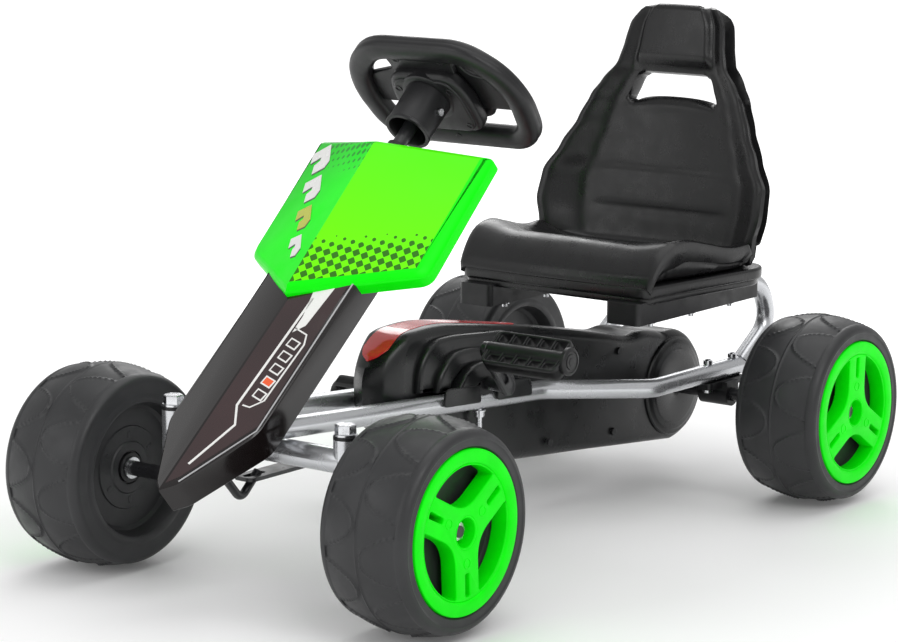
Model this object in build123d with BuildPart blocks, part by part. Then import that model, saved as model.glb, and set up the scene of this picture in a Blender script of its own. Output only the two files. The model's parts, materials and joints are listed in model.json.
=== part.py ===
from build123d import *
import os
from math import cos, radians, sin

# Pedal go kart. Millimetres. +X is forward, +Y is the driver's left, +Z is up.
# The origin is on the floor under the middle of the kart's overall length and width.

# ---- driving dimensions ---------------------------------------------------------------
WHEEL_R = 110.0             # tread radius at its crown, so the axles' height too
WHEEL_W = 106.0
WHEELBASE = 718.0
FRONT_X = 351.0
REAR_X = FRONT_X - WHEELBASE
AXLE_Z = WHEEL_R
FRONT_FACE_Y = 162.0        # inner side of the front wheels
REAR_FACE_Y = 185.0         # inner side of the rear wheels
KINGPIN_Y = 115.6
TUBE_R = 11.0               # frame tubes, 22 mm outside
TUBE_WALL = 1.5
RUN = 0.08                  # radial running clearance of a shaft in its bush
GAP = 0.4                   # clearance between pieces that pass each other

# ---- steering geometry ----------------------------------------------------------------
COLUMN_ANGLE = 42.0         # column's slope above the floor
COLUMN_POINT = (78.5, 482.0)    # x and z of a point on the column's axis
CRANK_OFFSET = 77.0         # column's crank and the knuckle arms have the same length
TIE_Z = 126.5               # underside of the tie bar
TIE_T = 4.0
COLUMN_R = 8.0
CRANK_ROD_R = 4.5

# ---- drive geometry -------------------------------------------------------------------
CRANK_X = 30.0
CRANK_Z = 178.5
CRANK_LENGTH = 60.0
CRANK_ANGLE = 51.0          # left crank arm above +X
PEDAL_TILT_LEFT = 38.0      # left pedal's front edge hangs down
PEDAL_TILT_RIGHT = -52.0
CHAINRING_TEETH = 24
SPROCKET_TEETH = 15
CHAIN_PITCH = 12.7

# ---- frame rails ----------------------------------------------------------------------
RAIL_NOSE = (392.0, 42.0, 187.0)
RAIL_BEND_1 = (-88.0, 42.0, 150.7)
RAIL_BEND_2 = (-220.0, 104.0, 138.5)
RAIL_TAIL = (-436.0, 104.0, 137.0)
RAIL_Y_REAR = RAIL_TAIL[1]
LEG_TOP_Z = 237.0

os.makedirs("parts", exist_ok=True)


def finish(piece, name):
    """Label a finished sub-part and write it."""
    piece.part.label = name
    export_step(piece.part, f"parts/{name}.step")
    return piece


def side_plane(y):
    """Sketch plane in X and Z at a given y. Its normal is -Y, so a negative extrude goes +Y."""
    return Plane(origin=(0, y, 0), x_dir=(1, 0, 0), z_dir=(0, -1, 0))


def across(x, y, z):
    """Plane at a point with its normal along +Y, with X to the left, as seen from outside."""
    return Plane(origin=(x, y, z), x_dir=(-1, 0, 0), z_dir=(0, 1, 0))


def rail_z(x):
    """Height of the front rails' centre line at x."""
    slope = (RAIL_NOSE[2] - RAIL_BEND_1[2]) / (RAIL_NOSE[0] - RAIL_BEND_1[0])
    return RAIL_NOSE[2] + slope * (x - RAIL_NOSE[0])


COLUMN_DIR = Vector(-cos(radians(COLUMN_ANGLE)), 0, sin(radians(COLUMN_ANGLE)))
COLUMN_UP = Vector(sin(radians(COLUMN_ANGLE)), 0, cos(radians(COLUMN_ANGLE)))
COLUMN_O = Vector(COLUMN_POINT[0], 0, COLUMN_POINT[1])


def column_at(distance):
    """Point on the column's axis, measured from its reference point up towards the driver."""
    return COLUMN_O + COLUMN_DIR * distance


def column_plane(distance):
    """Plane square to the column, local x to the driver's right, local y up the wheel."""
    return Plane(origin=column_at(distance), x_dir=(0, -1, 0), z_dir=COLUMN_DIR)


def mirrored(piece):
    """The same piece on the other side of the kart."""
    with BuildPart() as other:
        mirror(piece.part, about=Plane.XZ)
    return other


def bent_tube(points, radii, outer, wall):
    """Round tube along straight runs joined by arcs."""
    with BuildPart() as tube:
        with BuildLine() as path:
            FilletPolyline(*points, radius=radii)
        with BuildSketch(Plane(origin=path.line @ 0, z_dir=path.line % 0)):
            Circle(outer)
            Circle(outer - wall, mode=Mode.SUBTRACT)
        sweep()
    return tube


# ======================================================================================
# Frame
# ======================================================================================
BEARING_BOLT_DX = 27.0      # rear bearing bolts, fore and aft of the axle
BOLT_R = 3.0
CRANK_BOLT_X = CRANK_X

rail_left = bent_tube([RAIL_NOSE, RAIL_BEND_1, RAIL_BEND_2, RAIL_TAIL], 60, TUBE_R, TUBE_WALL)
with BuildPart() as side_rail_left:
    add(rail_left.part)
    for x in (REAR_X - BEARING_BOLT_DX, REAR_X + BEARING_BOLT_DX):
        with Locations((x, RAIL_Y_REAR, RAIL_TAIL[2])):
            Cylinder(BOLT_R + 0.2, 40, mode=Mode.SUBTRACT)
    with Locations((CRANK_BOLT_X, RAIL_NOSE[1], rail_z(CRANK_BOLT_X))):
        Cylinder(BOLT_R + 0.2, 40, mode=Mode.SUBTRACT)
side_rail_right = mirrored(side_rail_left)
finish(side_rail_left, "side_rail_left")
finish(side_rail_right, "side_rail_right")

# C-shaped seat legs: forward under the seat, round the back, and down onto the rails.
LEG_FRONT_X = -190.0
LEG_PATH = [
    (LEG_FRONT_X, RAIL_Y_REAR, LEG_TOP_Z),
    (-452.0, RAIL_Y_REAR, LEG_TOP_Z),
    (-476.0, RAIL_Y_REAR, 181.0),
    (-412.0, RAIL_Y_REAR, 140.0),
]
leg_left = bent_tube(LEG_PATH, [46, 30], TUBE_R, TUBE_WALL)
with BuildPart() as seat_leg_left:
    add(leg_left.part)
    tail_run = Vector(*RAIL_BEND_2) - Vector(*RAIL_TAIL)
    tail_start = Vector(*RAIL_TAIL) - tail_run * 0.3
    with BuildSketch(Plane(origin=tail_start, z_dir=tail_run)):
        Circle(TUBE_R + 0.02)
    extrude(amount=200, mode=Mode.SUBTRACT)
seat_leg_right = mirrored(seat_leg_left)
finish(seat_leg_left, "seat_leg_left")
finish(seat_leg_right, "seat_leg_right")

# Kingpin tubes, welded to the ends of the front cross member.
KINGPIN_TUBE_R = 12.5
KINGPIN_BORE_R = 9.5
KINGPIN_TUBE_Z = (132.0, 182.0)
KINGPIN_R = 6.0
with BuildPart() as kingpin_tubes:
    for y in (-KINGPIN_Y, KINGPIN_Y):
        with BuildSketch(Plane.XY.offset(KINGPIN_TUBE_Z[0])):
            with Locations((FRONT_X, y)):
                Circle(KINGPIN_TUBE_R)
                Circle(KINGPIN_BORE_R, mode=Mode.SUBTRACT)
        extrude(amount=KINGPIN_TUBE_Z[1] - KINGPIN_TUBE_Z[0])
finish(kingpin_tubes, "kingpin_tubes")

CROSS_R = 13.0
CROSS_Z = 158.5
with BuildPart() as front_cross_member:
    with BuildSketch(side_plane(-KINGPIN_Y)):
        with Locations((FRONT_X, CROSS_Z)):
            Circle(CROSS_R)
            Circle(CROSS_R - 2, mode=Mode.SUBTRACT)
    extrude(amount=-2 * KINGPIN_Y)
    for y in (-KINGPIN_Y, KINGPIN_Y):
        with Locations((FRONT_X, y, CROSS_Z)):
            Cylinder(KINGPIN_TUBE_R + 0.02, 80, mode=Mode.SUBTRACT)
    for y in (-RAIL_NOSE[1], RAIL_NOSE[1]):
        rail_run = Vector(*RAIL_NOSE) - Vector(*RAIL_BEND_1)
        saddle = Plane(origin=(RAIL_NOSE[0] + 20, y, rail_z(RAIL_NOSE[0] + 20)), z_dir=(-rail_run.X, 0, -rail_run.Z))
        with BuildSketch(saddle):
            Circle(TUBE_R + 0.02)
        extrude(amount=120, mode=Mode.SUBTRACT)
finish(front_cross_member, "front_cross_member")

# Flanged plastic bushes at the top and bottom of each kingpin tube.
BUSH_FLANGE = 3.5
with BuildPart() as steering_bushes:
    for y in (-KINGPIN_Y, KINGPIN_Y):
        for z_flange, z_sleeve in ((KINGPIN_TUBE_Z[1], -18), (KINGPIN_TUBE_Z[0] - BUSH_FLANGE, 18)):
            with BuildSketch(Plane.XY.offset(z_flange)):
                with Locations((FRONT_X, y)):
                    Circle(KINGPIN_TUBE_R)
                    Circle(KINGPIN_R + RUN, mode=Mode.SUBTRACT)
            extrude(amount=BUSH_FLANGE)
            sleeve_z = z_flange if z_sleeve < 0 else z_flange + BUSH_FLANGE
            with BuildSketch(Plane.XY.offset(sleeve_z)):
                with Locations((FRONT_X, y)):
                    Circle(KINGPIN_BORE_R - 0.02)
                    Circle(KINGPIN_R + RUN, mode=Mode.SUBTRACT)
            extrude(amount=z_sleeve)


# Inclined post that carries the column, and the plate that joins it to both rails.
POST_R = 11.5
POST_BORE_R = 9.5
POST_LOW = -(395.0 - COLUMN_POINT[0]) / cos(radians(COLUMN_ANGLE))
POST_HIGH = -62.0
BRACKET_X = 393.0
BRACKET_T = 4.0
with BuildPart() as steering_post:
    with BuildSketch(column_plane(POST_LOW)):
        Circle(POST_R)
        Circle(POST_BORE_R, mode=Mode.SUBTRACT)
    extrude(amount=POST_HIGH - POST_LOW)
    split(bisect_by=Plane(origin=(BRACKET_X - 0.02, 0, 0), x_dir=(0, 1, 0), z_dir=(1, 0, 0)), keep=Keep.BOTTOM)
finish(steering_post, "steering_post")

with steering_bushes:
    for start, flange in ((POST_HIGH, 4.0), (POST_LOW + 22, None)):
        with BuildSketch(column_plane(start)):
            Circle(POST_BORE_R - 0.02)
            Circle(COLUMN_R + RUN, mode=Mode.SUBTRACT)
        extrude(amount=-24 if flange else 24)
        if flange:
            with BuildSketch(column_plane(start)):
                Circle(POST_R)
                Circle(COLUMN_R + RUN, mode=Mode.SUBTRACT)
            extrude(amount=flange)
finish(steering_bushes, "steering_bushes")

with BuildPart() as front_bracket:
    with BuildSketch(Plane(origin=(BRACKET_X, 0, 0), x_dir=(0, 1, 0), z_dir=(1, 0, 0))):
        with Locations((0, 190)):
            RectangleRounded(104, 30, 6)
    extrude(amount=BRACKET_T)
    with BuildSketch(column_plane(POST_LOW - 60)):
        Circle(COLUMN_R + 2)
    extrude(amount=120, mode=Mode.SUBTRACT)
finish(front_bracket, "front_bracket")

# Crank bearings: blocks saddled on the rails, each held by one bolt.
CRANK_R = 7.0
BLOCK_W = 22.0
with BuildPart() as crank_bearings:
    for y in (-RAIL_NOSE[1], RAIL_NOSE[1]):
        with BuildSketch(side_plane(y - BLOCK_W / 2)):
            with Locations((CRANK_X, CRANK_Z)):
                Circle(12.5)
            with Locations((CRANK_X, CRANK_Z - 5)):
                Rectangle(34, 11)
            with Locations((CRANK_X, CRANK_Z)):
                Circle(CRANK_R + RUN, mode=Mode.SUBTRACT)
        extrude(amount=-BLOCK_W)
        with BuildSketch(Plane(origin=(CRANK_X + 60, y, rail_z(CRANK_X + 60)),
                               z_dir=(RAIL_BEND_1[0] - RAIL_NOSE[0], 0, RAIL_BEND_1[2] - RAIL_NOSE[2]))):
            Circle(TUBE_R + 0.02)
        extrude(amount=140, mode=Mode.SUBTRACT)
finish(crank_bearings, "crank_bearings")

# Rear bearings: black blocks under the rails, round the axle.
REAR_AXLE_R = 8.0
REAR_BLOCK_Y = 102.0
REAR_BLOCK_W = 40.0
with BuildPart() as rear_bearings:
    for side in (-1, 1):
        start = side * REAR_BLOCK_Y - REAR_BLOCK_W / 2
        with BuildSketch(side_plane(start)):
            with Locations((REAR_X, AXLE_Z)):
                Circle(14)
            with Locations((REAR_X, AXLE_Z + 8)):
                Rectangle(26, 16)
            with Locations((REAR_X, AXLE_Z)):
                Circle(REAR_AXLE_R + RUN, mode=Mode.SUBTRACT)
        extrude(amount=-REAR_BLOCK_W)
        with BuildSketch(Plane.XY.offset(119)):
            with Locations((REAR_X, side * RAIL_Y_REAR)):
                RectangleRounded(2 * BEARING_BOLT_DX + 22, 22, 5)
                for dx in (-BEARING_BOLT_DX, BEARING_BOLT_DX):
                    with Locations((dx, 0)):
                        Circle(BOLT_R + 0.2, mode=Mode.SUBTRACT)
        extrude(amount=8)
        with BuildSketch(side_plane(side * REAR_BLOCK_Y - REAR_BLOCK_W)):
            with Locations((REAR_X, AXLE_Z)):
                Circle(REAR_AXLE_R + RUN)
        extrude(amount=-2 * REAR_BLOCK_W, mode=Mode.SUBTRACT)
        with BuildSketch(Plane(origin=(RAIL_TAIL[0] - 40, side * RAIL_Y_REAR, RAIL_TAIL[2] - 0.3),
                               z_dir=(RAIL_BEND_2[0] - RAIL_TAIL[0], 0, RAIL_BEND_2[2] - RAIL_TAIL[2]))):
            Circle(TUBE_R + 0.02)
        extrude(amount=170, mode=Mode.SUBTRACT)
finish(rear_bearings, "rear_bearings")

# Bolts with domed nuts on top of the rear rails, and the crank bearings' bolts.
with BuildPart() as bearing_bolts:
    for side in (-1, 1):
        for dx in (-BEARING_BOLT_DX, BEARING_BOLT_DX):
            with Locations((REAR_X + dx, side * RAIL_Y_REAR, 0)):
                with Locations((0, 0, 115)):
                    Cylinder(BOLT_R, 38, align=(Align.CENTER, Align.CENTER, Align.MIN))
                with Locations((0, 0, 114.5)):
                    Cylinder(6, 4.4, align=(Align.CENTER, Align.CENTER, Align.MIN))
                with Locations((0, 0, 148.6)):
                    Cylinder(5.5, 4.5, align=(Align.CENTER, Align.CENTER, Align.MIN))
                with Locations((0, 0, 153.1)):
                    Sphere(4.6, arc_size1=0)
        with Locations((CRANK_BOLT_X, side * RAIL_NOSE[1], rail_z(CRANK_BOLT_X))):
            Cylinder(BOLT_R, 38, align=(Align.CENTER, Align.CENTER, Align.MAX), mode=Mode.ADD)
            with Locations((0, 0, -TUBE_R - 1)):
                Cylinder(7, 1.5, align=(Align.CENTER, Align.CENTER, Align.MAX))
            with Locations((0, 0, -TUBE_R - 2.5)):
                Cylinder(5.5, 6, align=(Align.CENTER, Align.CENTER, Align.MAX))
finish(bearing_bolts, "bearing_bolts")

# Plastic plugs in the rails' rear ends and the legs' front ends.
with BuildPart() as tube_plugs:
    for side in (-1, 1):
        with BuildSketch(Plane(origin=(RAIL_TAIL[0] - 0.2, side * RAIL_Y_REAR, RAIL_TAIL[2]), z_dir=(-1, 0, 0))):
            Circle(TUBE_R)
        extrude(amount=2.5)
        with BuildSketch(Plane(origin=(LEG_FRONT_X, side * RAIL_Y_REAR, LEG_TOP_Z), z_dir=(1, 0, 0))):
            Circle(TUBE_R)
        extrude(amount=2.5)
finish(tube_plugs, "tube_plugs")

# ======================================================================================
# Steering
# ======================================================================================
SLOT_X = FRONT_X + 5.0      # where the column's pin crosses the tie bar's plate
PIN_CROSS = Vector(SLOT_X, 0, TIE_Z + TIE_T / 2)
CRANK_CORNER = PIN_CROSS - COLUMN_DIR * 30
CRANK_ROOT = CRANK_CORNER + COLUMN_UP * CRANK_OFFSET
COLUMN_TOP = 18.0
with BuildPart() as steering_column:
    root = (CRANK_ROOT - COLUMN_O).dot(COLUMN_DIR)
    with BuildSketch(column_plane(root + 14)):
        Circle(COLUMN_R)
    extrude(amount=COLUMN_TOP - root - 14)
    with BuildLine() as rod_path:
        FilletPolyline(CRANK_ROOT + COLUMN_DIR * 14, CRANK_ROOT, CRANK_CORNER,
                       PIN_CROSS + COLUMN_DIR * 6, radius=9)
    with BuildSketch(Plane(origin=rod_path.line @ 0, z_dir=rod_path.line % 0)):
        Circle(CRANK_ROD_R)
    sweep()
finish(steering_column, "steering_column")

# Collar: a hollow plastic sleeve round the column's top, pinned by one screw.
COLLAR_R = 26.0
COLLAR_LOW = -36.0
COLLAR_HIGH = 20.9
with BuildPart() as steering_collar:
    with BuildSketch(column_plane(COLLAR_LOW)):
        Circle(COLLAR_R - 1)
    with BuildSketch(column_plane(COLLAR_HIGH)):
        Circle(COLLAR_R)
    loft()
    with BuildSketch(column_plane(COLLAR_LOW)):
        Circle(COLLAR_R - 5)
    extrude(amount=42, mode=Mode.SUBTRACT)
    with BuildSketch(column_plane(COLLAR_LOW)):
        Circle(COLUMN_R + 0.03)
    extrude(amount=COLUMN_TOP - COLLAR_LOW, mode=Mode.SUBTRACT)
    with BuildSketch(Plane(origin=column_at(-5), x_dir=COLUMN_DIR, z_dir=(0, 1, 0))):
        Circle(2.1)
    extrude(amount=COLLAR_R + 5, mode=Mode.SUBTRACT)
finish(steering_collar, "steering_collar")

with BuildPart() as collar_screw:
    with BuildSketch(Plane(origin=column_at(-5) + Vector(0, COLUMN_R, 0), x_dir=COLUMN_DIR, z_dir=(0, 1, 0))):
        Circle(2.05)
    extrude(amount=COLLAR_R - COLUMN_R + 1)
    with BuildSketch(Plane(origin=column_at(-5) + Vector(0, COLLAR_R, 0), x_dir=COLUMN_DIR, z_dir=(0, 1, 0))):
        Circle(4)
    extrude(amount=2.5)
finish(collar_screw, "collar_screw")

# Steering wheel: a flat-topped rim in two shells that meet at its middle plane. The spokes
# belong to the upper shell, and the hub's casing reaches down to the collar.
RIM_TOP = 68.0              # the rim's edges above and below the column's axis
RIM_BOTTOM = -90.0
RIM_WIDE = 119.0
RIM_PLANE = 34.0
RIM_BAR = 27.0
RIM_T = 22.0
RIM_CORNERS = [(66, RIM_TOP), (106, 32), (RIM_WIDE, -12), (110, -66), (84, RIM_BOTTOM)]
HUB_MIDDLE = -11.0


def rim_ring():
    """Rim's outline with its inside cut away, for the sketch that is open."""
    right = [(-x, y) for x, y in reversed(RIM_CORNERS)]
    ring = Polygon(*RIM_CORNERS, *right, align=None)
    fillet(ring.vertices(), 20)
    offset(amount=-RIM_BAR, mode=Mode.SUBTRACT)


with BuildPart() as wheel_lower_shell:
    with BuildSketch(column_plane(RIM_PLANE - RIM_T / 2)):
        rim_ring()
    extrude(amount=RIM_T / 2)
    low_face = wheel_lower_shell.faces().filter_by(lambda f: f.normal_at().dot(COLUMN_DIR) < -0.99)
    chamfer(low_face.edges(), 5)
    with BuildSketch(column_plane(COLLAR_HIGH + 0.1)):
        with Locations((0, HUB_MIDDLE)):
            RectangleRounded(100, 86, 22)
    extrude(amount=RIM_PLANE - COLLAR_HIGH - 0.1)
    with BuildSketch(column_plane(RIM_PLANE - 6)):
        with Locations((0, RIM_TOP - 30)):
            RectangleRounded(78, 34, 6)
    extrude(amount=6)
finish(wheel_lower_shell, "wheel_lower_shell")

with BuildPart() as wheel_upper_shell:
    with BuildSketch(column_plane(RIM_PLANE)):
        rim_ring()
    extrude(amount=RIM_T / 2)
    high_face = wheel_upper_shell.faces().filter_by(lambda f: f.normal_at().dot(COLUMN_DIR) > 0.99)
    chamfer(high_face.edges(), 5)
    with BuildSketch(column_plane(RIM_PLANE)):
        with Locations((0, HUB_MIDDLE)):
            RectangleRounded(100, 86, 22)
        with Locations((0, -8)):
            Rectangle(2 * RIM_WIDE - 2 * RIM_BAR + 12, 56)
        with Locations((0, RIM_TOP - 30)):
            RectangleRounded(78, 34, 6)
    extrude(amount=8)
finish(wheel_upper_shell, "wheel_upper_shell")

# Knuckles: a hub under each kingpin tube, the stub axle, and an arm that trails to the tie bar.
KNUCKLE_Z = (97.0, KINGPIN_TUBE_Z[0] - BUSH_FLANGE - 0.3)
ARM_T = 5.0
ARM_Z = TIE_Z - ARM_T - 0.3
TIE_PIN_X = FRONT_X - CRANK_OFFSET
STUB_R = 6.0
NUT_Y = 84.5                # hub nut's washer, outwards from the wheel's inner face
BOLT_TOP_Z = KINGPIN_TUBE_Z[1] + BUSH_FLANGE + 0.3
with BuildPart() as knuckle_left:
    with BuildSketch(Plane.XY.offset(KNUCKLE_Z[0])):
        with Locations((FRONT_X, KINGPIN_Y)):
            Circle(13)
    extrude(amount=KNUCKLE_Z[1] - KNUCKLE_Z[0])
    with BuildSketch(Plane.XY.offset(KNUCKLE_Z[1])):
        with Locations((FRONT_X, KINGPIN_Y)):
            Circle(KINGPIN_R)
    extrude(amount=BOLT_TOP_Z - KNUCKLE_Z[1])
    with BuildSketch(Plane.XY.offset(ARM_Z)):
        with Locations(((FRONT_X + TIE_PIN_X) / 2, KINGPIN_Y)):
            SlotCenterToCenter(CRANK_OFFSET, 18)
    extrude(amount=ARM_T)
    with BuildSketch(Plane.XY.offset(ARM_Z + ARM_T)):
        with Locations((TIE_PIN_X, KINGPIN_Y)):
            Circle(4)
    extrude(amount=TIE_T + 5.5)
    with BuildSketch(side_plane(KINGPIN_Y)):
        with Locations((FRONT_X, AXLE_Z)):
            Circle(8)
    extrude(amount=-(FRONT_FACE_Y + 13 - KINGPIN_Y))
    with BuildSketch(side_plane(KINGPIN_Y)):
        with Locations((FRONT_X, AXLE_Z)):
            Circle(STUB_R)
    extrude(amount=-(FRONT_FACE_Y + 97 - KINGPIN_Y))
knuckle_right = mirrored(knuckle_left)
finish(knuckle_left, "knuckle_left")
finish(knuckle_right, "knuckle_right")

# Zinc kingpin bolts: flanged hex heads on top of the tubes, turning with the knuckles.
for side, name in ((1, "left"), (-1, "right")):
    with BuildPart() as kingpin_bolt:
        with BuildSketch(Plane.XY.offset(BOLT_TOP_Z)):
            with Locations((FRONT_X, side * KINGPIN_Y)):
                Circle(12)
        extrude(amount=2)
        with BuildSketch(Plane.XY.offset(BOLT_TOP_Z + 2)):
            with Locations((FRONT_X, side * KINGPIN_Y)):
                RegularPolygon(11, 6)
        extrude(amount=9.5)
        chamfer(kingpin_bolt.faces().sort_by(Axis.Z)[-1].edges(), 1)
    finish(kingpin_bolt, f"kingpin_bolt_{name}")

# Tie bar: a flat strip behind the front axle, with a slotted plate that the column's pin drives.
SLOT_LENGTH = 30.0
PLATE_FRONT = SLOT_X + 20   # the column's crank passes in front of this edge
with BuildPart() as tie_bar:
    with BuildSketch(Plane.XY.offset(TIE_Z)):
        with Locations((TIE_PIN_X, 0)):
            SlotCenterToCenter(2 * KINGPIN_Y, 20, rotation=90)
        with Locations(((TIE_PIN_X + PLATE_FRONT) / 2 - 4, 0)):
            RectangleRounded(PLATE_FRONT - TIE_PIN_X + 8, 26, 7)
        with Locations((SLOT_X + 1, 0)):
            SlotOverall(SLOT_LENGTH, 2 * CRANK_ROD_R + 1, mode=Mode.SUBTRACT)
        with Locations((TIE_PIN_X, KINGPIN_Y)):
            Circle(4 + RUN, mode=Mode.SUBTRACT)
        with Locations((TIE_PIN_X, -KINGPIN_Y)):
            Circle(4 + 0.35, mode=Mode.SUBTRACT)
    extrude(amount=TIE_T)
finish(tie_bar, "tie_bar")

# ======================================================================================
# Wheels. Radial and axial profile, the axial distance counted from the wheel's inner side.
# ======================================================================================
HUB_BORE_R = 9.05
SHOULDER_R = 99.5
RING_R = (67.0, 83.0)


def wheel_shell_part(axle_x, face_y):
    """Blow-moulded wheel: crowned tread, dished inner side, hub tube, open on the outer side."""
    with BuildPart() as wheel:
        with BuildSketch(Plane(origin=(axle_x, face_y, AXLE_Z), x_dir=(1, 0, 0), z_dir=(0, 0, 1))):
            with BuildLine():
                Polyline((HUB_BORE_R, 20), (66, 20), (71, 3), (73, 0), (96, 0), (SHOULDER_R, 2))
                ThreePointArc((SHOULDER_R, 2), (WHEEL_R, WHEEL_W / 2), (SHOULDER_R, WHEEL_W - 2))
                Polyline((SHOULDER_R, WHEEL_W - 2), (97, WHEEL_W), (84, WHEEL_W), (84, 99.5), (68, 99.5),
                         (68, 95.5), (94, 95.5))
                ThreePointArc((94, 95.5), (WHEEL_R - 4, WHEEL_W / 2), (94, 5))
                Polyline((94, 5), (76, 5), (70, 24), (17, 24), (17, 80), (HUB_BORE_R, 80), (HUB_BORE_R, 20))
            make_face()
        revolve(axis=Axis((axle_x, 0, AXLE_Z), (0, 1, 0)))
    return wheel


def hubcap_part(axle_x, face_y, turn):
    """Green cap: outer ring, three tapered spokes and a recessed hub."""
    with BuildPart() as cap:
        with BuildSketch(across(axle_x, face_y + 99.6, AXLE_Z)):
            Circle(RING_R[1])
            Circle(RING_R[0], mode=Mode.SUBTRACT)
        extrude(amount=WHEEL_W - 99.6)
        with BuildSketch(across(axle_x, face_y + 96, AXLE_Z)):
            with PolarLocations(0, 3, start_angle=turn):
                Polygon((8, -14), (70, -20), (70, 20), (8, 14), align=None)
            Circle(RING_R[0] + 0.8, mode=Mode.INTERSECT)
            with PolarLocations(0, 3, start_angle=turn):
                with Locations((53, 0)):
                    SlotOverall(20, 4.5, mode=Mode.SUBTRACT)
        extrude(amount=8)
        with BuildSketch(across(axle_x, face_y + 80.1, AXLE_Z)):
            Circle(18)
        extrude(amount=22)
        with BuildSketch(across(axle_x, face_y + 84, AXLE_Z)):
            Circle(14)
        extrude(amount=30, mode=Mode.SUBTRACT)
        with BuildSketch(across(axle_x, face_y + 70, AXLE_Z)):
            Circle(HUB_BORE_R)
        extrude(amount=30, mode=Mode.SUBTRACT)
    return cap


def wheel_bush_part(axle_x, face_y, dog):
    """Flanged sleeve in the hub. A driven wheel's flange is thicker, with a slot for the cross pin."""
    flange_low = 6.0 if dog else 16.0
    with BuildPart() as bush:
        with BuildSketch(across(axle_x, face_y + flange_low, AXLE_Z)):
            Circle(16)
        extrude(amount=20 - flange_low)
        with BuildSketch(across(axle_x, face_y + 20, AXLE_Z)):
            Circle(HUB_BORE_R - 0.05)
        extrude(amount=63.6)
        with BuildSketch(across(axle_x, face_y, AXLE_Z)):
            Circle(STUB_R + RUN)
        extrude(amount=90, mode=Mode.SUBTRACT)
        if dog:
            with BuildSketch(across(axle_x, face_y, AXLE_Z)):
                Circle(REAR_AXLE_R + RUN)
            extrude(amount=15.3, mode=Mode.SUBTRACT)
            with BuildSketch(across(axle_x, face_y, AXLE_Z)):
                Rectangle(40, 5.6)
            extrude(amount=12, mode=Mode.SUBTRACT)
    return bush


for axle, axle_x, face_y in (("front", FRONT_X, FRONT_FACE_Y), ("rear", REAR_X, REAR_FACE_Y)):
    shell = wheel_shell_part(axle_x, face_y)
    finish(shell, f"{axle}_wheel_shell_left")
    finish(mirrored(shell), f"{axle}_wheel_shell_right")
    cap = hubcap_part(axle_x, face_y, 33 if axle == "front" else 88)
    finish(cap, f"{axle}_hubcap_left")
    finish(mirrored(cap), f"{axle}_hubcap_right")
    finish(wheel_bush_part(axle_x, face_y, axle == "rear"), f"{axle}_wheel_bush_left")
    finish(mirrored(wheel_bush_part(axle_x, face_y, False)), f"{axle}_wheel_bush_right")


def hub_nut_part(axle_x, face_y):
    """Zinc washer and nut outside the hub, with the washer inside it."""
    with BuildPart() as nut:
        for start, thick in ((NUT_Y, 2), (13.2, 2)):
            with BuildSketch(across(axle_x, face_y + start, AXLE_Z)):
                Circle(11.5)
                Circle(STUB_R + 0.03, mode=Mode.SUBTRACT)
            extrude(amount=thick)
        with BuildSketch(across(axle_x, face_y + NUT_Y + 2, AXLE_Z)):
            RegularPolygon(9.8, 6)
            Circle(STUB_R + 0.03, mode=Mode.SUBTRACT)
        extrude(amount=9)
    return nut


# The knuckles' nuts: on the stub axle, and on the pin through the tie bar.
hub_nut = hub_nut_part(FRONT_X, FRONT_FACE_Y)
with BuildPart() as knuckle_nuts:
    add(hub_nut.part)
    with BuildSketch(Plane.XY.offset(TIE_Z + TIE_T + 0.7)):
        with Locations((TIE_PIN_X, KINGPIN_Y)):
            RegularPolygon(7.5, 6)
            Circle(4.02, mode=Mode.SUBTRACT)
    extrude(amount=5)
finish(knuckle_nuts, "knuckle_nuts_left")
finish(mirrored(knuckle_nuts), "knuckle_nuts_right")

# ======================================================================================
# Drive train
# ======================================================================================
AXLE_STEP = REAR_FACE_Y + 15
PIN_Y = REAR_FACE_Y + 9
with BuildPart() as rear_axle:
    for radius, half in ((REAR_AXLE_R, AXLE_STEP), (STUB_R, REAR_FACE_Y + 97)):
        with BuildSketch(side_plane(-half)):
            with Locations((REAR_X, AXLE_Z)):
                Circle(radius)
        extrude(amount=-2 * half)
    with Locations((REAR_X, PIN_Y, AXLE_Z)):
        Cylinder(2.53, 40, rotation=(0, 90, 0), mode=Mode.SUBTRACT)
finish(rear_axle, "rear_axle")

with BuildPart() as drive_pin:
    with Locations((REAR_X, PIN_Y, AXLE_Z)):
        Cylinder(2.5, 30, rotation=(0, 90, 0))
finish(drive_pin, "drive_pin")

with BuildPart() as rear_hub_nuts:
    for side in (-1, 1):
        for start, thick in ((NUT_Y, 2), (16 - 2.4, 2)):
            if side == 1 and start < NUT_Y:
                continue
            begin = side * (REAR_FACE_Y + start + thick / 2) - thick / 2
            with BuildSketch(across(REAR_X, begin, AXLE_Z)):
                Circle(11.5)
                Circle((STUB_R if start > 20 else REAR_AXLE_R) + 0.03, mode=Mode.SUBTRACT)
            extrude(amount=thick)
        begin = side * (REAR_FACE_Y + NUT_Y + 6.5) - 4.5
        with BuildSketch(across(REAR_X, begin, AXLE_Z)):
            RegularPolygon(9.8, 6)
            Circle(STUB_R + 0.03, mode=Mode.SUBTRACT)
        extrude(amount=9)
finish(rear_hub_nuts, "rear_hub_nuts")

SPROCKET_Y = 8.0
SPROCKET_T = 4.0
RING_PITCH_R = CHAIN_PITCH / 2 / sin(radians(180 / CHAINRING_TEETH))
SPROCKET_PITCH_R = CHAIN_PITCH / 2 / sin(radians(180 / SPROCKET_TEETH))


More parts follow.
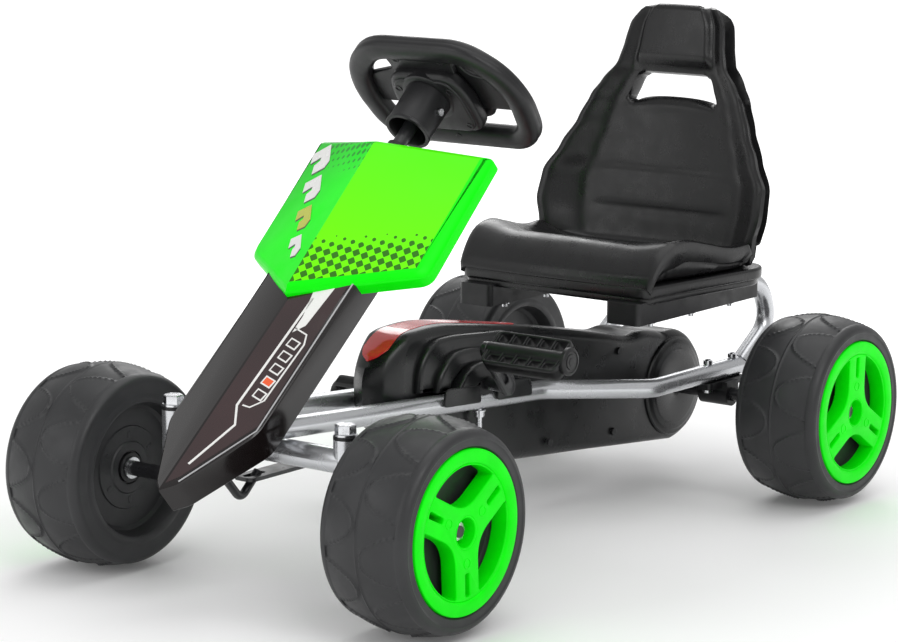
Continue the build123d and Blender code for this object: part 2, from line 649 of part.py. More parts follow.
def sprocket_part(x, z, pitch_r, teeth, bore_r):
    """Toothed plate with a round seat between teeth for each chain roller."""
    with BuildPart() as plate:
        with BuildSketch(across(x, SPROCKET_Y - SPROCKET_T / 2, z)):
            Circle(pitch_r + 3)
            with PolarLocations(pitch_r + 1, teeth):
                Circle(4.4, mode=Mode.SUBTRACT)
        extrude(amount=SPROCKET_T)
        with BuildSketch(across(x, SPROCKET_Y - 9, z)):
            Circle(bore_r + 8)
        extrude(amount=18)
        with BuildSketch(across(x, SPROCKET_Y - 9, z)):
            Circle(bore_r + 0.02)
        extrude(amount=18, mode=Mode.SUBTRACT)
    return plate


finish(sprocket_part(CRANK_X, CRANK_Z, RING_PITCH_R, CHAINRING_TEETH, CRANK_R), "chainring")
finish(sprocket_part(REAR_X, AXLE_Z, SPROCKET_PITCH_R, SPROCKET_TEETH, REAR_AXLE_R), "rear_sprocket")

# Chain: a closed loop tangent to both pitch circles, standing just clear of the teeth.
CHAIN_OUT = 4.6             # the loop's inner edge stands this far outside the pitch circles
CHAIN_H = 5.0


def chain_outline(extra):
    """Hull of two circles round the sprockets, grown by extra."""
    with BuildSketch(across(0, SPROCKET_Y - 4, 0)) as loop:
        with BuildSketch(mode=Mode.PRIVATE) as circles:
            with Locations((-CRANK_X, CRANK_Z)):
                Circle(RING_PITCH_R + extra)
            with Locations((-REAR_X, AXLE_Z)):
                Circle(SPROCKET_PITCH_R + extra)
        make_hull(circles.edges())
    return loop


with BuildPart() as chain:
    extrude(chain_outline(CHAIN_OUT + CHAIN_H).sketch, amount=8)
    extrude(chain_outline(CHAIN_OUT).sketch, amount=8, mode=Mode.SUBTRACT)
finish(chain, "chain")

ARM_Y = 76.0
with BuildPart() as crank_axle:
    with BuildSketch(side_plane(-ARM_Y)):
        with Locations((CRANK_X, CRANK_Z)):
            Circle(CRANK_R)
    extrude(amount=-2 * ARM_Y)
finish(crank_axle, "crank_axle")

PEDAL_PIN_R = 5.0
PEDAL_LENGTH = 100.0
PEDAL_WIDTH = 46.0
PEDAL_START = ARM_Y + 9.5
pedal_points = {}
for side, name, angle in ((1, "left", CRANK_ANGLE), (-1, "right", CRANK_ANGLE + 180)):
    pin_x = CRANK_X + CRANK_LENGTH * cos(radians(angle))
    pin_z = CRANK_Z + CRANK_LENGTH * sin(radians(angle))
    pedal_points[name] = (pin_x, pin_z)
    low_y = side * (ARM_Y + 4) - 4
    with BuildPart() as crank_arm:
        with BuildSketch(side_plane(low_y)):
            SlotCenterPoint(((CRANK_X + pin_x) / 2, (CRANK_Z + pin_z) / 2), (pin_x, pin_z), 18)
        extrude(amount=-8)
        with BuildSketch(side_plane(side * (ARM_Y + 4))):
            with Locations((pin_x, pin_z)):
                Circle(PEDAL_PIN_R)
        extrude(amount=-side * (PEDAL_LENGTH + 5))
    finish(crank_arm, f"crank_arm_{name}")

for side, name, tilt in ((1, "left", PEDAL_TILT_LEFT), (-1, "right", PEDAL_TILT_RIGHT)):
    pin_x, pin_z = pedal_points[name]
    tread = Plane(origin=(pin_x, side * (PEDAL_START + PEDAL_LENGTH / 2), pin_z), z_dir=(0, 0, 1))
    tread = tread.rotated((0, tilt, 0))
    with BuildPart() as pedal:
        with BuildSketch(tread.offset(-8)):
            RectangleRounded(PEDAL_WIDTH, PEDAL_LENGTH, 10)
            for along in (-1, 1):
                with Locations((along * 15.5, 0)):
                    with GridLocations(0, 23, 1, 4):
                        RectangleRounded(8, 18, 3, mode=Mode.SUBTRACT)
        extrude(amount=16)
        with BuildSketch(side_plane(side * (PEDAL_START + PEDAL_LENGTH / 2) - PEDAL_LENGTH / 2)):
            with Locations((pin_x, pin_z)):
                Circle(10)
        extrude(amount=-PEDAL_LENGTH)
        with BuildSketch(side_plane(side * (PEDAL_START + PEDAL_LENGTH / 2) - PEDAL_LENGTH / 2)):
            with Locations((pin_x, pin_z)):
                Circle(PEDAL_PIN_R + RUN)
        extrude(amount=-PEDAL_LENGTH, mode=Mode.SUBTRACT)
    finish(pedal, f"pedal_{name}")
    with BuildPart() as pedal_cap:
        with BuildSketch(side_plane(side * (PEDAL_START + PEDAL_LENGTH + 3) - 3 + 0.05 * side)):
            with Locations((pin_x, pin_z)):
                Circle(15)
        extrude(amount=-6)
    finish(pedal_cap, f"pedal_cap_{name}")

# ======================================================================================
# Chain case: two shells that meet on the kart's middle plane
# ======================================================================================
CASE_NARROW = 29.5          # half-width between the front rails
CASE_BODY = 37.0            # half-width behind the rails' bends
CASE_BULB = 56.0            # half-width of the bulb over the rails
CASE_FRONT = 184.0
CASE_WALL = 3.0
CASE_REAR_R = 68.0
BULB_FLOOR = 12.5           # bulb's underside above the rails' centre line


def case_profile(inset):
    """Side outline of the case: rounded nose, crown, long sloping back, round rear end."""
    r = CASE_REAR_R - inset
    with BuildSketch(side_plane(0)) as outline:
        with BuildLine():
            Polyline(
                (180 - inset, 150 + inset), (184 - inset, 202), (168 - inset * 0.7, 228 - inset * 0.7),
                (138, 246 - inset), (82, 249 - inset), (20, 240 - inset), (-64, 226 - inset),
                (-268, 188 - inset), (-300, 190 - inset), (-350, 181 - inset),
                (REAR_X + 0.26 * r, AXLE_Z + 0.966 * r))
            ThreePointArc((REAR_X + 0.26 * r, AXLE_Z + 0.966 * r), (REAR_X - r, AXLE_Z), (REAR_X, AXLE_Z - r))
            Polyline((REAR_X, AXLE_Z - r), (-199, 60 + inset), (-54, 72 + inset), (92, 104 + inset),
                     (180 - inset, 150 + inset))
        make_face()
    return outline.sketch


def bulb_profile(inset):
    """Side outline of the part of the case that spreads over the rails."""
    with BuildSketch(side_plane(0)) as outline:
        with BuildLine():
            Polyline(
                (134 - inset, rail_z(134) + BULB_FLOOR + inset * 0.6), (126 - inset, 214 - inset),
                (100 - inset, 232 - inset), (54, 236 - inset), (0, 222 - inset), (-52 + inset, 200 - inset),
                (-60 + inset, rail_z(-60) + BULB_FLOOR + inset * 0.6),
                (134 - inset, rail_z(134) + BULB_FLOOR + inset * 0.6))
        make_face()
    return outline.sketch


def case_solid(inset):
    """Left half of the case as one solid, shrunk by inset on every side but the middle plane."""
    with BuildPart() as half:
        extrude(case_profile(inset), amount=-(CASE_BODY - inset))
        with BuildSketch(side_plane(CASE_NARROW - inset)):
            Polygon((-105 + inset, 0), (220, 0), (220, rail_z(220) + BULB_FLOOR + inset),
                    (-105 + inset, rail_z(-105) + BULB_FLOOR + inset), align=None)
        extrude(amount=-60, mode=Mode.SUBTRACT)
        # the front is rounded in plan
        with BuildSketch(Plane.XY):
            with Locations((138, 0)):
                Ellipse(CASE_FRONT - 138 - inset, CASE_NARROW - inset)
            with Locations((138, 0)):
                Rectangle(700, 200, align=(Align.MAX, Align.CENTER))
        extrude(amount=400, mode=Mode.INTERSECT)
        extrude(bulb_profile(inset), amount=-(CASE_BULB - inset), taper=8)
    return half.part


with BuildPart() as chain_case_left:
    add(case_solid(0))
    add(case_solid(CASE_WALL), mode=Mode.SUBTRACT)
    # recess for the crank bearing, open below
    with BuildSketch(side_plane(CASE_NARROW - CASE_WALL - 1)):
        with Locations((CRANK_X, CRANK_Z - 12)):
            RectangleRounded(38, 54, 6)
    extrude(amount=-(CASE_BULB), mode=Mode.SUBTRACT)
    with BuildSketch(side_plane(-1)):
        with Locations((CRANK_X, CRANK_Z)):
            Circle(CRANK_R + 1)
        with Locations((REAR_X, AXLE_Z)):
            Circle(REAR_AXLE_R + 1)
    extrude(amount=-(CASE_BULB + 10), mode=Mode.SUBTRACT)
chain_case_left.part = chain_case_left.part.solids().sort_by(SortBy.VOLUME)[-1]
chain_case_right = mirrored(chain_case_left)
finish(chain_case_left, "chain_case_left")
finish(chain_case_right, "chain_case_right")

# Round cover over the rear sprocket, on the case's left side.
with BuildPart() as sprocket_cover:
    for radius, start, thick in ((60.0, CASE_BODY + 0.05, 3.0), (52.0, CASE_BODY + 3.0, 3.0)):
        with BuildSketch(side_plane(start)):
            with Locations((REAR_X, AXLE_Z)):
                Circle(radius)
        extrude(amount=-thick)
    with BuildSketch(side_plane(0)):
        with Locations((REAR_X, AXLE_Z)):
            Circle(REAR_AXLE_R + 1)
    extrude(amount=-60, mode=Mode.SUBTRACT)
finish(sprocket_cover, "sprocket_cover")

# ======================================================================================
# Nose fairing and nose shield: folded shells, symmetric about the middle plane
# ======================================================================================
SHELL_T = 3.0


def folded_half(top, bottom, outer, outline, depth, corner, open_top):
    """Left half of a folded shell: a flat facet with a skirt round its free edges.

    top and bottom are the ends of the crease, outer is a point on the facet, and outline is
    measured along the crease and square to it, starting and ending on the crease."""
    crease = (Vector(*bottom) - Vector(*top)).normalized()
    normal = crease.cross(Vector(*outer) - Vector(*top)).normalized()
    facet = Plane(origin=top, x_dir=crease, z_dir=normal)
    inward = Vector(-normal.X, 0, -normal.Z).normalized()
    first, last = outline[0], outline[-1]
    with BuildPart() as half:
        with BuildSketch(facet) as face:
            Polygon(*outline, (last[0], -40), (first[0], -40), align=None)
            fillet(face.vertices().group_by(Axis((0, 0, 0), (0, 1, 0)))[-1], corner)
        extrude(amount=depth, dir=inward)
        with BuildSketch(facet.offset(-SHELL_T)) as inner:
            Polygon(*outline, (last[0], -40), (first[0], -40), align=None)
            fillet(inner.vertices().group_by(Axis((0, 0, 0), (0, 1, 0)))[-1], corner)
            offset(amount=-SHELL_T, kind=Kind.INTERSECTION)
            if open_top:
                x, y = outline[1][0] * 0.95, outline[1][1] * 0.95
                Polygon((-20, -40), (6, -40), (6, 0), (x + 6, y), (x - 20, y), (-20, 0), align=None)
        extrude(amount=depth, dir=inward, mode=Mode.SUBTRACT)
        split(bisect_by=Plane.XZ, keep=Keep.BOTTOM)
    return half


SHIELD_TOP = (158, 0, 456)
SHIELD_BOTTOM = (310, 0, 313)
SHIELD_OUTER = (167.5, 117.5, 385.75)
SHIELD_OUTLINE = [(0, 0), (-26, 125), (136, 126), (208.7, 0)]
shield_half = folded_half(SHIELD_TOP, SHIELD_BOTTOM, SHIELD_OUTER, SHIELD_OUTLINE, 18, 9, False)
with BuildPart() as nose_shield:
    add(shield_half.part)
    mirror(shield_half.part, about=Plane.XZ)
    with BuildSketch(column_plane(POST_LOW)):
        Circle(POST_R + 1.2)
    extrude(amount=-POST_LOW, mode=Mode.SUBTRACT)
finish(nose_shield, "nose_shield")

NOSE_TOP = (313, 0, 298)
NOSE_MIDDLE = (450, 0, 183)
NOSE_OUTER = (375.5, 60, 227.5)
NOSE_OUTLINE = [(-6, 0), (-36, 61), (150, 61), (232, 14), (244, 0)]
nose_half = folded_half(NOSE_TOP, NOSE_MIDDLE, NOSE_OUTER, NOSE_OUTLINE, 34, 4, True)
with BuildPart() as nose_fairing:
    add(nose_half.part)
    mirror(nose_half.part, about=Plane.XZ)
finish(nose_fairing, "nose_fairing")

# ======================================================================================
# Seat: one blow-moulded bucket with raised sides and a hole under the headrest
# ======================================================================================
SEAT_FRONT_X = -163.0
SEAT_UNDER_Z = LEG_TOP_Z + TUBE_R + 0.3
SEAT_BACK_X = -376.0        # the back's front face at the pan
SEAT_BACK_ANGLE = 15.0      # recline from upright
SEAT_BACK_T = 34.0
SEAT_WALL = 4.0
BACK_BASE_Z = 262.0
back_plane = Plane(origin=(SEAT_BACK_X, 0, BACK_BASE_Z), x_dir=(0, 1, 0),
                   z_dir=(cos(radians(SEAT_BACK_ANGLE)), 0, sin(radians(SEAT_BACK_ANGLE))))
BACK_HEIGHT = 316.0
with BuildPart() as seat:
    with BuildSketch(Plane.XY.offset(SEAT_UNDER_Z)) as pan:
        Polygon((SEAT_FRONT_X, 138), (-372, 163), (-404, 150), (-404, -150), (-372, -163),
                (SEAT_FRONT_X, -138), align=None)
        fillet(pan.vertices(), 18)
    extrude(amount=285 - SEAT_UNDER_Z)
    with BuildSketch(Plane.XY.offset(SEAT_UNDER_Z + SEAT_WALL)):
        add(pan.sketch)
        offset(amount=-SEAT_WALL)
    extrude(amount=285 - SEAT_UNDER_Z - 2 * SEAT_WALL, mode=Mode.SUBTRACT)
    with BuildSketch(back_plane) as back:
        with BuildLine():
            Polyline((0, 0), (150, 0), (167, 60), (163, 100), (132, 150), (116, 196), (84, 236), (74, 286),
                     (56, BACK_HEIGHT), (0, BACK_HEIGHT), (0, 0))
        make_face()
        mirror(about=Plane.YZ)
        fillet(back.vertices().filter_by(lambda v: abs(v.X) > 20), 14)
        with BuildLine():
            Polyline((66, 190), (-66, 190), (-50, 226), (50, 226), (66, 190))
        make_face(mode=Mode.SUBTRACT)
    extrude(amount=-SEAT_BACK_T)
    for side in (-1, 1):
        with BuildSketch(side_plane(side * 146 - 14)):
            with BuildLine():
                Polyline((SEAT_FRONT_X - 55, 270), (-262, 300), (-330, 318), (-372, 400), (-400, 400),
                         (-392, 262), (SEAT_FRONT_X - 55, 262), (SEAT_FRONT_X - 55, 270))
            make_face()
        extrude(amount=-28)
finish(seat, "seat")

# Mounting blocks that wrap the legs under the seat.
BLOCK_X = (-415.0, -155.0)
BLOCK_LOW_Z = LEG_TOP_Z - TUBE_R - 3.5
SEAT_BOLT_X = (-215.0, -300.0, -385.0)
with BuildPart() as seat_blocks:
    for side in (-1, 1):
        with BuildSketch(Plane.XY.offset(BLOCK_LOW_Z)):
            with Locations(((BLOCK_X[0] + BLOCK_X[1]) / 2, side * RAIL_Y_REAR)):
                RectangleRounded(BLOCK_X[1] - BLOCK_X[0], 46, 6)
        extrude(amount=SEAT_UNDER_Z - BLOCK_LOW_Z - 0.02)
        with BuildSketch(Plane(origin=(LEG_FRONT_X + 3, side * RAIL_Y_REAR, LEG_TOP_Z), z_dir=(-1, 0, 0))):
            Circle(TUBE_R + 0.05)
        extrude(amount=300, mode=Mode.SUBTRACT)
finish(seat_blocks, "seat_blocks")

# Nuts under the seat blocks, and the screws of the chain case and the fairings.
with BuildPart() as seat_bolts:
    for side in (-1, 1):
        for x in SEAT_BOLT_X:
            with Locations((x, side * RAIL_Y_REAR, BLOCK_LOW_Z)):
                Cylinder(7.5, 1.5, align=(Align.CENTER, Align.CENTER, Align.MAX))
                with Locations((0, 0, -1.5)):
                    Cylinder(5.5, 5, align=(Align.CENTER, Align.CENTER, Align.MAX))
                    Cylinder(3, 8.5, align=(Align.CENTER, Align.CENTER, Align.MAX))
finish(seat_bolts, "seat_bolts")

CASE_SCREWS = [(120, 140), (20, 100), (-110, 85), (-240, 75), (-250, 170), (-120, 190)]
with BuildPart() as case_screws:
    for x, z in CASE_SCREWS:
        half_width = CASE_NARROW if x > -105 else CASE_BODY
        with BuildSketch(side_plane(half_width + 0.05)):
            with Locations((x, z)):
                Circle(4.5)
        extrude(amount=-2.2)
finish(case_screws, "case_screws")
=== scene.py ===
import bmesh
import bpy
import json
from math import atan2, cos, pi, radians, sin, sqrt
from mathutils import Matrix, Vector


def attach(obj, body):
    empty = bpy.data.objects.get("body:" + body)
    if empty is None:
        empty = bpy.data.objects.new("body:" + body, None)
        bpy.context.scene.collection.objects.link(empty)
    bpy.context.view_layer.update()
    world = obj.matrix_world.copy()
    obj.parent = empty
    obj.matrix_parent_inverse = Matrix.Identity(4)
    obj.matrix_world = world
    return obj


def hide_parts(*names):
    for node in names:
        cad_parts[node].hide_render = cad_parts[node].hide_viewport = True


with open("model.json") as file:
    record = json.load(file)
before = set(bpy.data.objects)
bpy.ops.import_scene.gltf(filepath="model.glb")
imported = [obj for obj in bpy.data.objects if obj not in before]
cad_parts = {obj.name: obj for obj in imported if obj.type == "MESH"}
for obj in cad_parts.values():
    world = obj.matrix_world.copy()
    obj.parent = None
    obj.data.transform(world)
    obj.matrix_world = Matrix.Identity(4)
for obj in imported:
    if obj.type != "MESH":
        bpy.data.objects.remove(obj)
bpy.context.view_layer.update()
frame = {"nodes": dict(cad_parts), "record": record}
NODES = frame["nodes"]
BODY_OF = {n: body for body, names in frame["record"]["behaviour"]["bodies"].items() for n in names}
MM = 0.001

# ---- places shared with the CAD part, in millimetres -----------------------------------
WHEEL_R = 110.0
WHEEL_W = 106.0
FRONT_X = 351.0
REAR_X = -367.0
FRONT_FACE_Y = 162.0
REAR_FACE_Y = 185.0
COLUMN_ANGLE = radians(42)
COLUMN_O = Vector((78.5, 0, 482.0))
COLUMN_DIR = Vector((-cos(COLUMN_ANGLE), 0, sin(COLUMN_ANGLE)))


# ======================================================================================
# Materials
# ======================================================================================
def node(nt, kind, inputs=(), **settings):
    """Add a shader node, set its properties, and link or set its inputs."""
    n = nt.nodes.new(kind)
    for key, value in settings.items():
        setattr(n, key, value)
    for key, value in dict(inputs).items():
        if isinstance(value, bpy.types.NodeSocket):
            nt.links.new(value, n.inputs[key])
        else:
            n.inputs[key].default_value = value
    return n


def calc(nt, op, a, b=0.0, c=0.0, clamp=False):
    """One Math node."""
    n = node(nt, "ShaderNodeMath", {0: a, 1: b, 2: c}, operation=op)
    n.use_clamp = clamp
    return n.outputs[0]


def mix(nt, factor, a, b):
    """Mix two colours."""
    n = node(nt, "ShaderNodeMix", data_type="RGBA")
    for socket, value in ((n.inputs[0], factor), (n.inputs[6], a), (n.inputs[7], b)):
        if isinstance(value, bpy.types.NodeSocket):
            nt.links.new(value, socket)
        else:
            socket.default_value = value
    return n.outputs[2]


def spread(nt, value, low, high, start=0.3, end=0.7):
    """Map a noise's middle range onto low to high."""
    return node(nt, "ShaderNodeMapRange", {0: value, 1: start, 2: end, 3: low, 4: high}).outputs[0]


def noise(nt, coords, scale, detail=3.0, stretch=None, distortion=0.0):
    """Noise value over object coordinates, scale in features per metre."""
    if stretch:
        coords = node(nt, "ShaderNodeMapping", {"Vector": coords, "Scale": stretch}).outputs[0]
    inputs = {"Vector": coords, "Scale": scale, "Detail": detail, "Distortion": distortion}
    return node(nt, "ShaderNodeTexNoise", inputs).outputs["Fac"]


def rgba(colour, factor=1.0):
    return (*(min(1.0, c * factor) for c in colour), 1.0)


def surface(name, colour, rough, metal=0.0, coat=0.0, mottle=0.15, mottle_scale=25.0, grain=700.0,
            grain_depth=0.00005, grain_stretch=None, rough_spread=0.08, edge=0.0, paint=None, wear=0.25,
            specular=0.5):
    """A moulded, painted or plated surface: mottled colour, uneven gloss, fine grain and rubbed spots."""
    m = bpy.data.materials.new(name)
    m.use_nodes = True
    nt = m.node_tree
    shader = nt.nodes["Principled BSDF"]
    coords = node(nt, "ShaderNodeTexCoord").outputs["Object"]
    cloud = noise(nt, coords, mottle_scale, 4.0)
    base = mix(nt, spread(nt, cloud, 0.0, 1.0), rgba(colour, 1 - mottle), rgba(colour, 1 + mottle))
    if paint:
        base = paint(nt, coords, base)
    speck = noise(nt, coords, mottle_scale * 14, 2.0)
    rubbed = spread(nt, speck, 0.0, wear, 0.62, 0.78)
    pale = tuple(min(1.0, c * 1.25 + 0.012) for c in colour)
    base = mix(nt, calc(nt, "MULTIPLY", rubbed, spread(nt, cloud, 0.0, 1.0, 0.5, 0.7)), base,
               rgba(pale))
    nt.links.new(base, shader.inputs["Base Color"])
    gloss = noise(nt, coords, mottle_scale * 3, 3.0)
    nt.links.new(spread(nt, gloss, max(0.02, rough - rough_spread), rough + rough_spread),
                 shader.inputs["Roughness"])
    shader.inputs["Metallic"].default_value = metal
    shader.inputs["Coat Weight"].default_value = coat
    shader.inputs["Specular IOR Level"].default_value = specular
    shader.inputs["Coat Roughness"].default_value = 0.08
    fine = noise(nt, coords, grain, 2.0, grain_stretch)
    bump = {"Height": fine, "Strength": 0.6, "Distance": grain_depth}
    if edge:
        bump["Normal"] = node(nt, "ShaderNodeBevel", {"Radius": edge}, samples=4).outputs[0]
    nt.links.new(node(nt, "ShaderNodeBump", bump).outputs[0], shader.inputs["Normal"])
    return m


def both(name, *args, **keys):
    """The same finish twice: for modelled edges, and for CAD nodes with rounded-looking edges."""
    return {False: surface(name, *args, **keys), True: surface(f"{name}_cad", *args, edge=0.0009,
                                                               **keys)}


# Facet coordinates of the shield, for its printed pattern.
SHIELD_TOP = Vector((158, 0, 456))
SHIELD_BOTTOM = Vector((310, 0, 313))
SHIELD_SIDE_POINT = Vector((167.5, 117.5, 385.75))
SHIELD_CREASE = (SHIELD_BOTTOM - SHIELD_TOP).normalized()


def shield_paint(nt, coords, base):
    """Lime with a low dark diamond band on the driver's left facet, a dotted fade at the other's top, and
    painted shade darkening that other facet towards its top and outer edge.
    """
    side = SHIELD_SIDE_POINT - SHIELD_TOP
    side = (side - SHIELD_CREASE * side.dot(SHIELD_CREASE)).normalized()
    parts = node(nt, "ShaderNodeSeparateXYZ", {0: coords})
    v = calc(nt, "MULTIPLY", calc(nt, "ABSOLUTE", parts.outputs[1]), 1000 / side.y)
    du = calc(nt, "MULTIPLY_ADD", parts.outputs[0], 1000 * SHIELD_CREASE.x,
              calc(nt, "MULTIPLY", parts.outputs[2], 1000 * SHIELD_CREASE.z))
    lean = side.x * SHIELD_CREASE.x + side.z * SHIELD_CREASE.z
    origin = SHIELD_TOP.dot(SHIELD_CREASE)
    u = calc(nt, "SUBTRACT", calc(nt, "SUBTRACT", du, origin), calc(nt, "MULTIPLY", v, lean))
    near = calc(nt, "GREATER_THAN", parts.outputs[1], 0.0)
    far = calc(nt, "SUBTRACT", 1.0, near)
    # diamonds, in turns dark and clear
    pitch = 11.0
    a = calc(nt, "MULTIPLY", calc(nt, "ADD", u, calc(nt, "MULTIPLY", v, 1.15)), pi / pitch)
    b = calc(nt, "MULTIPLY", calc(nt, "SUBTRACT", u, calc(nt, "MULTIPLY", v, 1.15)), pi / pitch)
    wave = calc(nt, "MULTIPLY", calc(nt, "SINE", a), calc(nt, "SINE", b))
    # distance inside the printed sheet's lower and outer edges
    low_edge = calc(nt, "SUBTRACT", calc(nt, "MULTIPLY_ADD", v, -0.577, 196.0), u)
    side_edge = calc(nt, "SUBTRACT", 114.0, v)
    inside = calc(nt, "MULTIPLY", calc(nt, "GREATER_THAN", low_edge, 0.0),
                  calc(nt, "GREATER_THAN", side_edge, 0.0))
    depth = calc(nt, "DIVIDE", calc(nt, "SUBTRACT", low_edge, calc(nt, "MULTIPLY_ADD", v, -0.12, 42.0)),
                 20.0)
    check = calc(nt, "GREATER_THAN", wave, calc(nt, "MAXIMUM", depth, 0.02))
    check = calc(nt, "MULTIPLY", check, calc(nt, "MULTIPLY", inside, near))
    fade = calc(nt, "DIVIDE", calc(nt, "MULTIPLY_ADD", v, 0.35, u), 42.0)
    dots = calc(nt, "GREATER_THAN", wave, calc(nt, "MAXIMUM", calc(nt, "SUBTRACT", fade, 0.25), 0.05))
    dots = calc(nt, "MULTIPLY", dots, calc(nt, "MULTIPLY", far, calc(nt, "LESS_THAN", v, 100.0)))
    # Painted shade: the facet on the driver's right is darkened towards deep green near its top and outer
    # edge, standing in for a facet turned away from the light.
    far_facet_painted_shade = node(nt, "ShaderNodeMapRange", {0: calc(nt, "MULTIPLY_ADD", v, -0.9, u), 1: -110.0, 2: 60.0,
                                            3: 0.55, 4: 0.0}).outputs[0]
    lime = calc(nt, "MULTIPLY", near, inside)
    tone = node(nt, "ShaderNodeMapRange", {0: u, 1: -20.0, 2: 150.0, 3: 0.55, 4: 1.0}).outputs[0]
    colour = mix(nt, calc(nt, "MULTIPLY", lime, tone), base, (0.16, 0.95, 0.0, 1))
    # Painted shade: mix the far facet towards dark green.
    colour = mix(nt, calc(nt, "MULTIPLY", far_facet_painted_shade, far), colour, (0.02, 0.22, 0.03, 1))
    colour = mix(nt, calc(nt, "MULTIPLY", dots, 0.75), colour, (0.012, 0.13, 0.02, 1))
    return mix(nt, calc(nt, "MULTIPLY", check, 0.9), colour, (0.02, 0.09, 0.012, 1))


MATS = {
    "frame_silver": both("frame_silver", (0.60, 0.61, 0.63), 0.26, metal=0.85, mottle=0.02,
                         mottle_scale=12,
                         grain=500, grain_depth=0.00001, rough_spread=0.03, wear=0.0),
    "black_steel": both("black_steel", (0.014, 0.014, 0.016), 0.34, coat=0.25, mottle=0.3, grain=500,
                        grain_depth=0.00006),
    "zinc": both("zinc", (0.66, 0.67, 0.69), 0.24, metal=1.0, mottle=0.12, mottle_scale=90, grain=900,
                 grain_depth=0.00003, rough_spread=0.1),
    "black_plastic": both("black_plastic", (0.009, 0.009, 0.010), 0.42, specular=0.42, mottle=0.2,
                          grain=1100,
                          grain_depth=0.00008),
    "case_plastic": both("case_plastic", (0.008, 0.0085, 0.009), 0.30, specular=0.42, mottle=0.25,
                         mottle_scale=12,
                         grain=900, grain_depth=0.00005, rough_spread=0.06),
    "wheel_plastic": both("wheel_plastic", (0.025, 0.0255, 0.027), 0.44, specular=0.4, mottle=0.14,
                          mottle_scale=22,
                          grain=1300, grain_depth=0.00008, rough_spread=0.07),
    "hubcap_green": both("hubcap_green", (0.001, 0.90, 0.002), 0.40, specular=0.14, mottle=0.07,
                         mottle_scale=30,
                         grain=900, grain_depth=0.00003),
    "shield_green": both("shield_green", (0.001, 0.90, 0.001), 0.36, specular=0.16, mottle=0.04,
                         mottle_scale=10,
                         grain=800, grain_depth=0.00002, paint=shield_paint, wear=0.05),
    "nose_black": both("nose_black", (0.007, 0.005, 0.005), 0.16, coat=0.3, specular=0.4, mottle=0.2,
                       mottle_scale=10,
                       grain=700, grain_depth=0.00002, rough_spread=0.05, wear=0.1),
    "seat_plastic": both("seat_plastic", (0.006, 0.006, 0.0065), 0.30, coat=0.05, specular=0.38,
                         mottle=0.25,
                         mottle_scale=14, grain=260, grain_depth=0.00022,
                         grain_stretch=(1.0, 5.0, 0.35),
                         rough_spread=0.08),
    "steering_plastic": both("steering_plastic", (0.009, 0.009, 0.010), 0.38, specular=0.42, mottle=0.2,
                             grain=1200,
                             grain_depth=0.0001),
}
SLOT = {entry["node"]: entry["material_slot"] for entry in frame["record"]["subparts"]}
for name, obj in NODES.items():
    obj.data.materials.clear()
    obj.data.materials.append(MATS[SLOT[name]][SLOT[name] not in ("frame_silver", "zinc")])


# ======================================================================================
# Mesh helpers. Lengths are given in millimetres.
# ======================================================================================
def finish_mesh(bm, name, material, sharp=38):
    """Clean a bmesh, and link it as an object in metres with smooth faces and sharp creases."""
    bmesh.ops.remove_doubles(bm, verts=bm.verts, dist=0.004)
    bmesh.ops.recalc_face_normals(bm, faces=bm.faces)
    me = bpy.data.meshes.new(name)
    bm.to_mesh(me)
    bm.free()
    me.transform(Matrix.Scale(MM, 4))
    me.shade_smooth()
    me.set_sharp_from_angle(angle=radians(sharp))
    me.materials.append(material)
    obj = bpy.data.objects.new(name, me)
    bpy.context.scene.collection.objects.link(obj)
    return obj


def piece(bm, name, slot, body, replaces=(), material=None, sharp=38):
    """Finish a mesh, hang it on its body, and hide the CAD nodes it stands for."""
    obj = finish_mesh(bm, name, material or MATS[slot][False], sharp)
    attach(obj, body)
    if replaces:
        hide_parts(*replaces)
    return obj


def loft(bm, rings, closed=True, caps=True):
    """Quads between rings of equal length, with end faces if wanted."""
    rows = [[bm.verts.new(p) for p in ring] for ring in rings]
    count = len(rows[0])
    last = count if closed else count - 1
    for low, high in zip(rows, rows[1:]):
        for i in range(last):
            j = (i + 1) % count
            bm.faces.new((low[i], low[j], high[j], high[i]))
    if caps:
        bm.faces.new(list(reversed(rows[0])))
        bm.faces.new(rows[-1])
    return rows


def revolve(bm, profile, centre, side=1, segments=96, closed=False, bump=None):
    """Turn (radius, distance) pairs about the Y axis through centre, distance outwards on that side."""
    rows = []
    for r, w in profile:
        row = []
        for i in range(segments):
            t = 2 * pi * i / segments
            radius = r + (bump(t, w) if bump else 0.0)
            row.append(bm.verts.new((centre[0] + radius * cos(t), centre[1] + side * w,
                                     centre[2] + radius * sin(t))))
        rows.append(row)
    pairs = list(zip(rows, rows[1:])) + ([(rows[-1], rows[0])] if closed else [])
    for low, high in pairs:
        for i in range(segments):
            j = (i + 1) % segments
            bm.faces.new((low[i], low[j], high[j], high[i]))
    if not closed:
        bm.faces.new(rows[0])
        bm.faces.new(rows[-1])
    return rows


def rounded(points, radius, steps=5):
    """Closed 2-D outline with its corners rounded. radius is one number or a list."""
    radii = radius if isinstance(radius, (list, tuple)) else [radius] * len(points)
    out = []
    for i, p in enumerate(points):
        p = Vector(p)
        a = Vector(points[i - 1]) - p
        b = Vector(points[(i + 1) % len(points)]) - p
        reach = min(radii[i], a.length * 0.48, b.length * 0.48)
        if reach < 0.01:
            out.append(tuple(p))
            continue
        start, end = p + a.normalized() * reach, p + b.normalized() * reach
        for k in range(steps + 1):
            t = k / steps
            out.append(tuple(start * (1 - t) ** 2 + p * 2 * t * (1 - t) + end * t * t))
    return out


def circle(radius, count=48, x=0.0, y=0.0):
    return [(x + radius * cos(2 * pi * i / count),
             y + radius * sin(2 * pi * i / count)) for i in range(count)]


